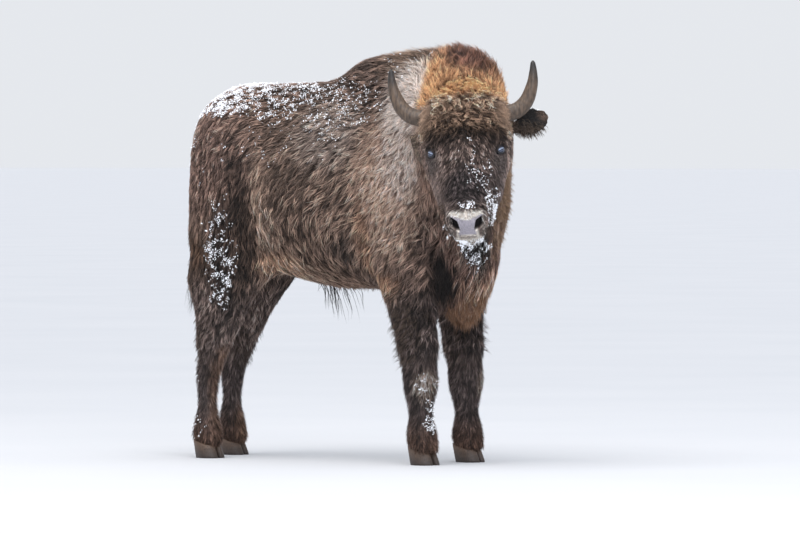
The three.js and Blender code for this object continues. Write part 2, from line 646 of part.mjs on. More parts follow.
// The head has its own finer surface.
const headLow = new THREE.Vector3(-260, -260, -400);
const headHigh = new THREE.Vector3(HEAD_LENGTH + 50, 260, 140);
let head = surfaceOf(flesh, headFrame, headLow, headHigh, HEAD_CELL);
head = head.intersect(beyond(occiput, NECK_WAY, -GAP / 2)).intersect(beyond(withers, neckNormal, -GAP / 2));
const beardRoot = onHead(338, 0, -128);
const beard = hangingLock(beardRoot, 150, 50, 0.9, 7, 10);
const beardTop = beardRoot.clone().add(new THREE.Vector3(0, 0, GAP));
head = head.subtract(hangingLock(beardTop, 150, 50 + GAP, 0.9, 7, 10));
for (const side of [-1, 1]) {
  const name = side > 0 ? "left" : "right";
  neck = neck.subtract(ear(side, GAP));
  head = head.subtract(horn(side, GAP)).subtract(ear(side, GAP)).subtract(eyeball(side, GAP));
  head = head.subtract(eyeSocket(side)).subtract(nostril(side));
  group.add(nodeOf(`horn_${name}`, horn(side), HORN));
  group.add(nodeOf(`ear_${name}`, ear(side).subtract(horn(side, GAP)), DARK_COAT));
  group.add(nodeOf(`eye_${name}`, eyeball(side), EYE_GLOSS));
}
group.add(nodeOf("neck", neck, RUST_COAT));
group.add(nodeOf("head", head, COAT));
group.add(nodeOf("beard", beard, DARK_COAT));

// Each leg carries a pair of dewclaws, and ends at the coronet on two claws.
for (const foot of FEET) {
  const [back, front, top] = foot.hind ? [-1240, -480, 970] : [-380, 380, 760];
  const [low, high] = [at(front, foot.at.x - 230, -80), at(back, foot.at.x + 230, top)];
  const cell = foot.hind ? HIND_LEG_CELL : FRONT_LEG_CELL;
  let leg = surfaceOf(flesh, still, low, high, cell).intersect(legZone(foot, -GAP / 2)).subtract(tail(GAP));
  leg = leg.subtract(hoofZone(foot, GAP / 2));
  for (const inner of [-1, 1]) {
    const clawName = inner * foot.side > 0 ? "outer" : "inner";
    const toe = claw(foot.at, inner, foot.toeOut).intersect(hoofZone(foot, -GAP / 2));
    leg = leg.add(dewclaw(foot.at, inner));
    group.add(nodeOf(`hoof_${foot.name}_${clawName}`, toe, HOOF));
  }
  group.add(nodeOf(`leg_${foot.name}`, leg, DARK_COAT));
}

// The origin is on the floor, under the middle of the whole animal.
const part = new THREE.Group();
const middle = new THREE.Box3().setFromObject(group).getCenter(new THREE.Vector3());
group.position.set(-middle.x, -middle.y, 0);
part.add(group);

export default part;
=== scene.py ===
"""A life-size museum model of a young European bison in its winter coat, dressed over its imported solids."""

import logging
import math
from dataclasses import dataclass, field
from enum import Enum

import bmesh
import bpy
import numpy as np
from bpy.types import Material, Mesh, Node, NodeSocket, NodeTree, Object
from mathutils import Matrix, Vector
from mathutils.bvhtree import BVHTree
from mathutils.kdtree import KDTree


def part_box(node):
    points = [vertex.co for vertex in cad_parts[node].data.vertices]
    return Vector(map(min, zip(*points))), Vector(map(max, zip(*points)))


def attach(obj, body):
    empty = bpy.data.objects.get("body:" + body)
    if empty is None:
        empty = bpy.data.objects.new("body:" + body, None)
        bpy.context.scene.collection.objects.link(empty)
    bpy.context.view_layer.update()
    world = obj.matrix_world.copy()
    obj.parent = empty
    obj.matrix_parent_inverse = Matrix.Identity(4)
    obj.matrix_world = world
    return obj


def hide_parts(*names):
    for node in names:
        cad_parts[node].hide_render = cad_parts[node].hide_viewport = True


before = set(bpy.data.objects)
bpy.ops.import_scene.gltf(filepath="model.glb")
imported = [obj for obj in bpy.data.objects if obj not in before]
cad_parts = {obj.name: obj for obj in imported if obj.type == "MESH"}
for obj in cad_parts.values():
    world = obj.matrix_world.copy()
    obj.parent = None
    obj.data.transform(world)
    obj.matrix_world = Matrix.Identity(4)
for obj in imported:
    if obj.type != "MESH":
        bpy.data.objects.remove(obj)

Array = np.ndarray
Pair = tuple[float, float]
Triple = tuple[float, float, float]

log = logging.getLogger("bison")
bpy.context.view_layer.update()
MM = 0.001
SEED = 1952
COAT = "Coat"  # the colour attribute that the skin and every tuft carry
TUFT_PATCH = 0.003  # the side of one tuft's patch on the unwrap


class Space(Enum):
    """The measures in which a place is given, in millimetres."""

    BODY = "fore, left and up from the middle of the withers on the floor"
    HEAD = "along the face, left and out from the poll"


class Side(Enum):
    """A side of the animal, with the sign of its left measure."""

    LEFT = 1
    RIGHT = -1

    @property
    def word(self) -> str:
        """The side as it stands in the names of pieces."""
        return self.name.lower()


class Cut(Enum):
    """How many rings a tuft is built with: more rings let it bend more."""

    SPIKE = 1
    LOCK = 2
    STRAND = 3
    CURL = 4


# ---- Small shared helpers ----


def linear(code: str) -> Array:
    """Turns an sRGB hex colour into linear red, green and blue.

    Args:
        code: The colour as "#rrggbb".

    Returns:
        Three linear values.
    """
    value = np.array([int(code[n : n + 2], 16) for n in (1, 3, 5)]) / 255
    return np.where(value <= 0.04045, value / 12.92, ((value + 0.055) / 1.055) ** 2.4)


def rgba(code: str) -> tuple[float, ...]:
    """The linear colour of a hex code with full alpha, for a socket."""
    return (*linear(code).tolist(), 1.0)


def unit(rows: Array) -> Array:
    """Rows scaled to length one."""
    return rows / np.maximum(np.linalg.norm(rows, axis=-1, keepdims=True), 1e-9)


def step_up(value: Array, low: float, high: float) -> Array:
    """A smooth step from 0 at low to 1 at high."""
    share = np.clip((value - low) / (high - low), 0, 1)
    return share * share * (3 - 2 * share)


def mottle(places: Array, size: float, seed: int) -> Array:
    """A smooth seeded ripple through space, about -1 to 1, for tone that varies from patch to patch.

    Args:
        places: Points, in the unit of size.
        size: The distance from one light patch to the next.
        seed: Picks the ripple.

    Returns:
        One value for each point.
    """
    rng = np.random.default_rng(seed)
    ways = unit(rng.normal(size=(9, 3))) * rng.uniform(0.7, 1.4, (9, 1))
    phases = rng.uniform(0, 2 * math.pi, 9)
    return np.sin(places @ ways.T * (2 * math.pi / size) + phases).sum(1) / 3.2


def across(ways: Array, normals: Array) -> Array:
    """The part of each way that runs along the surface, at length one."""
    return unit(ways - (ways * normals).sum(1, keepdims=True) * normals)


def add_node(tree: NodeTree, kind: str, inputs: dict | None = None, **settings: object) -> Node:
    """Adds a node with its settings, values and links.

    Args:
        tree: The node tree.
        kind: The node's type name.
        inputs: A value or an output socket for each input that is set.
        settings: The node's own properties.

    Returns:
        The new node.
    """
    node = tree.nodes.new(kind)
    for name, value in settings.items():
        setattr(node, name, value)
    for key, value in (inputs or {}).items():
        if isinstance(value, NodeSocket):
            tree.links.new(value, node.inputs[key])
        else:
            node.inputs[key].default_value = value
    return node


def start_material(name: str, values: dict[str, object]) -> tuple[Material, NodeTree, object]:
    """Starts a material on its principled shader.

    Args:
        name: The material's name.
        values: The plain value of each of the shader's sockets that is set.

    Returns:
        The material, its tree and the shader's inputs.
    """
    made = bpy.data.materials.new(name)
    made.use_nodes = True
    sockets = made.node_tree.nodes["Principled BSDF"].inputs
    for socket, value in values.items():
        sockets[socket].default_value = value
    return made, made.node_tree, sockets


def varied(
    tree: NodeTree,
    grain: NodeSocket,
    spread: Pair,
    ends: Pair = (0.3, 0.7),
    saturation: float = 1.0,
) -> NodeSocket:
    """Varies a piece's own painted colours with a grain.

    Args:
        tree: The material's tree.
        grain: The grain, about 0 to 1.
        spread: The darkest and the lightest that it makes them.
        ends: The grain's own ends.
        saturation: How strong the colours stay.

    Returns:
        The varied colour.
    """
    own = add_node(tree, "ShaderNodeVertexColor", layer_name=COAT)
    bounds = {"From Min": ends[0], "From Max": ends[1], "To Min": spread[0], "To Max": spread[1]}
    value = add_node(tree, "ShaderNodeMapRange", {"Value": grain, **bounds})
    mixed = {"Color": own.outputs["Color"], "Value": value.outputs["Result"], "Saturation": saturation}
    return add_node(tree, "ShaderNodeHueSaturation", mixed).outputs["Color"]


def new_object(name: str, mesh: Mesh) -> Object:
    """Links a mesh to the scene as an object at the origin."""
    piece = bpy.data.objects.new(name, mesh)
    bpy.context.scene.collection.objects.link(piece)
    return piece


def mount(
    name: str, mesh: Mesh, material: Material, replaced: tuple[str, ...] = ()
) -> Object:
    """Sets a piece of the animal on its body.

    Args:
        name: The piece's name.
        mesh: Its mesh.
        material: Its finish.
        replaced: The solids that it stands for.

    Returns:
        The piece.
    """
    piece = new_object(name, mesh)
    piece.data.materials.append(material)
    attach(piece, "root")
    if replaced:
        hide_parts(*replaced)
    return piece


def mesh_from(name: str, places: Array, faces: list[Array]) -> Mesh:
    """Builds a smooth-shaded mesh from arrays.

    Args:
        name: The mesh's name.
        places: Vertices, one row each.
        faces: Arrays of vertex numbers, each with its own count of corners.

    Returns:
        The mesh, its faces in the order given.
    """
    mesh = bpy.data.meshes.new(name)
    mesh.vertices.add(len(places))
    mesh.vertices.foreach_set("co", places.astype(np.float32).ravel())
    corners = np.concatenate([rows.ravel() for rows in faces])
    sizes = np.concatenate([np.full(len(rows), rows.shape[1]) for rows in faces])
    mesh.loops.add(len(corners))
    mesh.loops.foreach_set("vertex_index", corners.astype(np.int32))
    mesh.polygons.add(len(sizes))
    mesh.polygons.foreach_set("loop_start", (np.cumsum(sizes) - sizes).astype(np.int32))
    mesh.polygons.foreach_set("use_smooth", np.ones(len(sizes), bool))
    mesh.update(calc_edges=True)
    return mesh


def reshape(mesh: Mesh, points: Array) -> None:
    """Moves a mesh's points and shades it smooth."""
    mesh.vertices.foreach_set("co", points.ravel())
    mesh.polygons.foreach_set("use_smooth", np.ones(len(mesh.polygons), bool))
    mesh.update()


def paint(mesh: Mesh, colours: Array) -> None:
    """Writes one linear colour for each vertex."""
    layer = mesh.color_attributes.new(COAT, "FLOAT_COLOR", "POINT")
    filled = np.concatenate([colours, np.ones((len(colours), 1))], 1)
    layer.data.foreach_set("color", filled.astype(np.float32).ravel())


def loft(rings: Array) -> tuple[Array, list[Array]]:
    """Joins rings of points into a closed form with a fan at each end.

    Args:
        rings: Points as (ring, place in the ring, axis), turning the same way.

    Returns:
        The vertices and the faces.
    """
    count, sides = rings.shape[:2]
    places = np.concatenate([rings.reshape(-1, 3), [rings[0].mean(0)], [rings[-1].mean(0)]])
    ring, turn = np.meshgrid(np.arange(count - 1), np.arange(sides), indexing="ij")
    after, here = (turn + 1) % sides, ring * sides
    walls = np.stack([here + turn, here + after, here + sides + after, here + sides + turn], -1)
    turn, after = np.arange(sides), (np.arange(sides) + 1) % sides
    start = np.stack([after, turn, np.full(sides, count * sides)], -1)
    last = (count - 1) * sides
    end = np.stack([turn + last, after + last, np.full(sides, count * sides + 1)], -1)
    return places, [walls.reshape(-1, 4), start, end]


def even_squares(name: str, nodes: tuple[str, ...], voxel: float) -> Mesh:
    """Casts one closed mesh of small squares over copies of solids.

    Args:
        name: The new mesh's name.
        nodes: The solids.
        voxel: The side of a square, in metres.

    Returns:
        The mesh, without a material.
    """
    work = bmesh.new()
    for node in nodes:
        work.from_mesh(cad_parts[node].data)
    bmesh.ops.remove_doubles(work, verts=work.verts, dist=1e-5)
    rough = bpy.data.meshes.new(name + "_cast")
    work.to_mesh(rough)
    work.free()
    cast = new_object(name + "_cast", rough)
    remesh = cast.modifiers.new("even squares", "REMESH")
    remesh.mode, remesh.voxel_size = "VOXEL", voxel
    mesh = bpy.data.meshes.new_from_object(cast.evaluated_get(bpy.context.evaluated_depsgraph_get()))
    bpy.data.objects.remove(cast)
    mesh.materials.clear()
    mesh.name = name
    return mesh


def finder_of(points: Array) -> KDTree:
    """A tree that finds the nearest of some points.

    Args:
        points: The points, one row each.

    Returns:
        The balanced tree.
    """
    finder = KDTree(len(points))
    for number, point in enumerate(points):
        finder.insert(point, number)
    finder.balance()
    return finder


def outward(mesh: Mesh) -> None:
    """Turns every face of a closed mesh to point outwards."""
    work = bmesh.new()
    work.from_mesh(mesh)
    bmesh.ops.remove_doubles(work, verts=work.verts, dist=1e-6)
    bmesh.ops.recalc_face_normals(work, faces=work.faces)
    work.to_mesh(mesh)
    work.free()


# ---- Where the animal stands ----


@dataclass(frozen=True)
class Stance:
    """The body's and the head's own measures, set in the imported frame."""

    middle: float = 109.73
    withers: float = -295.08
    poll: Triple = (286.0, -280.0, 1212.0)
    head_turn: float = 58.0
    face_slope: float = 31.0
    head_roll: float = 3.5

    @property
    def facing(self) -> Array:
        """The level way that the face looks."""
        turn = math.radians(self.head_turn)
        return np.array([-math.sin(turn), -math.cos(turn), 0.0])

    @property
    def axes(self) -> Array:
        """Rows: along the face towards the nose, towards the animal's left, and out of the face."""
        up = np.array([0.0, 0.0, 1.0])
        roll, slope = math.radians(self.head_roll), math.radians(self.face_slope)
        side = np.cross(up, self.facing)
        left = side * math.cos(roll) + up * math.sin(roll)
        tall = up * math.cos(roll) - side * math.sin(roll)
        along = self.facing * math.sin(slope) - tall * math.cos(slope)
        out = self.facing * math.cos(slope) + tall * math.sin(slope)
        return np.stack([along, left, out])

    def body(self, fore: float, left: float, up: float) -> Array:
        """A place in the body's measures, in metres in the frame."""
        return np.array([left + self.middle, self.withers - fore, up]) * MM

    def head(self, *places: Triple) -> Array:
        """Places in the head's measures, in metres in the frame, one row each."""
        return self.body(*self.poll) + np.array(places) @ self.axes * MM

    def measured(self, points: Array, space: Space) -> Array:
        """Turns points of the frame into the measures of a space.

        Args:
            points: Points in metres.
            space: The measures wanted.

        Returns:
            The points in millimetres.
        """
        if space is Space.HEAD:
            return (points - self.body(*self.poll)) @ self.axes.T / MM
        moved = points / MM - [self.middle, self.withers, 0]
        return np.stack([-moved[:, 1], moved[:, 0], moved[:, 2]], 1)

    def ways(self, rows: Array, space: Space) -> Array:
        """Turns directions of a space into directions of the frame."""
        if space is Space.HEAD:
            return rows @ self.axes
        return np.stack([rows[:, 1], -rows[:, 0], rows[:, 2]], 1)


STANCE = Stance()


# ---- Finishes ----


@dataclass(frozen=True)
class KeratinHair:
    """Dry winter guard hair and underwool: keratin, matt, with a faint silky gleam along each lock."""

    name: str = "winter_hair"
    roughness: float = 0.62
    ior: float = 1.55
    specular: float = 0.22  # most of the glance is lost between the hairs
    sheen: float = 0.05
    strands: float = 240.0  # changes of tone to the metre, one in some 4 mm
    spread: Pair = (0.82, 1.16)
    saturation: float = 1.02

    def material(self) -> Material:
        """A material that takes its markings from the coat's own colours.

        Returns:
            The material of every tuft.
        """
        gloss = {"Roughness": self.roughness, "IOR": self.ior, "Specular IOR Level": self.specular}
        made, tree, shader = start_material(self.name, {**gloss, "Sheen Weight": self.sheen})
        place = add_node(tree, "ShaderNodeTexCoord").outputs["Object"]
        grain = add_node(tree, "ShaderNodeTexNoise", {"Vector": place, "Scale": self.strands, "Detail": 2.0})
        tone = varied(tree, grain.outputs["Fac"], self.spread, saturation=self.saturation)
        tree.links.new(tone, shader["Base Color"])
        return made


@dataclass(frozen=True)
class Hide:
    """Living hide under the coat: the short hair on it shows as fine strokes that run down the limb."""

    name: str = "hide"
    roughness: float = 0.7
    ior: float = 1.5
    specular: float = 0.3
    stroke: float = 2.2  # mm between strokes of short hair
    drawn_out: float = 0.16  # how far a stroke is drawn out downwards
    spread: Pair = (0.7, 1.25)
    relief: float = 0.5
    rise: float = 0.0015  # metres from the foot of a stroke to its top

    def material(self) -> Material:
        """A material with the coat's markings and the relief of short hair.

        Returns:
            The material of skin and lids.
        """
        gloss = {"Roughness": self.roughness, "IOR": self.ior, "Specular IOR Level": self.specular}
        made, tree, shader = start_material(self.name, gloss)
        place = add_node(tree, "ShaderNodeTexCoord").outputs["Object"]
        run = add_node(tree, "ShaderNodeMapping", {"Vector": place, "Scale": (1.0, 1.0, self.drawn_out)})
        sizes = {"Vector": run.outputs["Vector"], "Scale": 1000 / self.stroke, "Detail": 3.0}
        grain = add_node(tree, "ShaderNodeTexNoise", sizes).outputs["Fac"]
        raised = {"Height": grain, "Strength": self.relief, "Distance": self.rise}
        bump = add_node(tree, "ShaderNodeBump", raised)
        tree.links.new(varied(tree, grain, self.spread), shader["Base Color"])
        tree.links.new(bump.outputs["Normal"], shader["Normal"])
        return made


@dataclass(frozen=True)
class Sheath:
    """Horn sheath or hoof wall: grown keratin in fine layers, worn smooth, with a dull waxy shine."""

    name: str
    dark: str
    pale: str = "#ffffff"
    grain: float = 3.0  # mm between growth lines
    roughness: float = 0.42
    ior: float = 1.54
    worn: float = 0.85  # how far the streaks show
    patches: float = 55.0  # duller patches to the metre, one in some 18 mm

    def material(self) -> Material:
        """A material streaked along its growth, over the piece's own colours.

        Returns:
            The material of horns or claws.
        """
        made, tree, shader = start_material(self.name, {"IOR": self.ior})
        own = add_node(tree, "ShaderNodeVertexColor", layer_name=COAT)
        place = add_node(tree, "ShaderNodeTexCoord").outputs["Object"]
        run = add_node(tree, "ShaderNodeMapping", {"Vector": place, "Scale": (1.0, 1.0, 0.25)})
        sizes = {"Vector": run.outputs["Vector"], "Scale": 1000 / self.grain, "Detail": 4.0}
        fine = add_node(tree, "ShaderNodeTexNoise", sizes).outputs["Fac"]
        broad = add_node(tree, "ShaderNodeTexNoise", {"Vector": place, "Scale": self.patches, "Detail": 5.0})
        share = add_node(tree, "ShaderNodeMapRange", {"Value": fine, "From Min": 0.3, "From Max": 0.65})
        ends = {0: share.outputs["Result"], 6: rgba(self.dark), 7: rgba(self.pale)}
        streak = add_node(tree, "ShaderNodeMix", ends, data_type="RGBA")
        layers = {0: self.worn, 6: own.outputs["Color"], 7: streak.outputs[2]}
        tone = add_node(tree, "ShaderNodeMix", layers, data_type="RGBA", blend_type="MULTIPLY")
        dulled = {"To Min": self.roughness - 0.1, "To Max": self.roughness + 0.2}
        rough = add_node(tree, "ShaderNodeMapRange", {"Value": broad.outputs["Fac"], **dulled})
        bump = add_node(tree, "ShaderNodeBump", {"Height": fine, "Strength": 0.35, "Distance": 0.0006})
        tree.links.new(tone.outputs[2], shader["Base Color"])
        tree.links.new(rough.outputs["Result"], shader["Roughness"])
        tree.links.new(bump.outputs["Normal"], shader["Normal"])
        return made


@dataclass(frozen=True)
class WetEye:
    """A living eye: dark iris under a clear wet cornea that mirrors the sky and the snow."""

    name: str = "wet_eye"
    iris: str = "#1d2437"
    # Painted reflection of the sky and the snow, laid on the iris as pale bands.
    painted_reflection: str = "#9eabc4"
    rim: str = "#0c0b0c"
    pupil: str = "#0b0d15"
    ball: str = "#12131b"
    ior: float = 1.38
    roughness: float = 0.04
    tears: float = 0.4
    rays: float = 700.0  # fine rays to the metre, one in some 1.4 mm

    def material(self) -> Material:
        """A glossy material that keeps the painted iris and adds its fine rays.

        Returns:
            The material of both eyeballs.
        """
        gloss = {"Roughness": self.roughness, "IOR": self.ior}
        gloss |= {"Coat Weight": self.tears, "Coat Roughness": 0.02}
        made, tree, shader = start_material(self.name, gloss)
        place = add_node(tree, "ShaderNodeTexCoord").outputs["Object"]
        rays = add_node(tree, "ShaderNodeTexNoise", {"Vector": place, "Scale": self.rays, "Detail": 3.0})
        tree.links.new(varied(tree, rays.outputs["Fac"], (0.6, 1.4), (0.0, 1.0)), shader["Base Color"])
        return made


@dataclass(frozen=True)
class DrySnow:
    """Dry snow caught in the coat: packed ice crystals, white and rough, with a painted glow that keeps it
    white in shade.
    """

    name: str = "dry_snow"
    colour: str = "#fafbfe"
    shade: str = "#dfe4ec"
    # The tint of the painted glow.
    inner: str = "#f5f7fb"
    painted_glow: float = 0.24  # painted glow: emitted light that keeps the snow white in shade
    roughness: float = 0.6
    ior: float = 1.31
    sparkles: float = 900.0  # changes of tone to the metre, one in some 1.1 mm

    def material(self) -> Material:
        """A white material with the sparkle of small grains and a painted glow.

        Returns:
            The material of the snow.
        """
        # Emission paints a glow into the snow: painted light that keeps it white where it lies in shade.
        inside = {"Emission Color": rgba(self.inner), "Emission Strength": self.painted_glow}
        inside |= {"Roughness": self.roughness, "IOR": self.ior}
        made, tree, shader = start_material(self.name, inside)
        place = add_node(tree, "ShaderNodeTexCoord").outputs["Object"]
        grain = add_node(tree, "ShaderNodeTexNoise", {"Vector": place, "Scale": self.sparkles, "Detail": 2.0})
        ends = {0: grain.outputs["Fac"], 6: rgba(self.shade), 7: rgba(self.colour)}
        tone = add_node(tree, "ShaderNodeMix", ends, data_type="RGBA")
        tree.links.new(tone.outputs[2], shader["Base Color"])
        return made


# ---- The coat's plan ----


@dataclass(frozen=True)
class Zone:
    """A patch of the coat, blended over the patches before it. Lengths are in millimetres."""

    space: Space
    centre: Triple
    reach: Triple
    root: str | None = None
    tip: str | None = None
    depth: float | None = None  # of the coat over the hide
    length: float | None = None  # of a lock
    width: float | None = None  # of a tuft
    lift: float | None = None  # how far its tips stand off, beyond the coat's depth
    curl: float | None = None  # how far a lock waves to each side
    bare: float | None = None  # 1 where no hair grows
    contrast: float | None = None  # how far the tones of its locks spread
    both: bool = True  # on both sides of the middle
    soft: float = 0.45
    of: tuple[str, ...] = ()  # the parts of the body that it keeps to

    def weight(self, places: dict[Space, Array], share: Array) -> Array:
        """How strongly the patch holds at each point, from 0 to 1.

        Args:
            places: The points, measured in each space.
            share: How far each point belongs to each part of the body.

        Returns:
            One weight for each point.
        """
        here = places[self.space].copy()
        if self.both:
            here[:, 1] = np.abs(here[:, 1])
        away = np.linalg.norm((here - self.centre) / self.reach, axis=1)
        held = 1 - step_up(away, 1 - self.soft, 1 + self.soft)
        if self.of:
            held = held * np.clip(sum(share[:, PARTS.index(part)] for part in self.of), 0, 1)
        return held


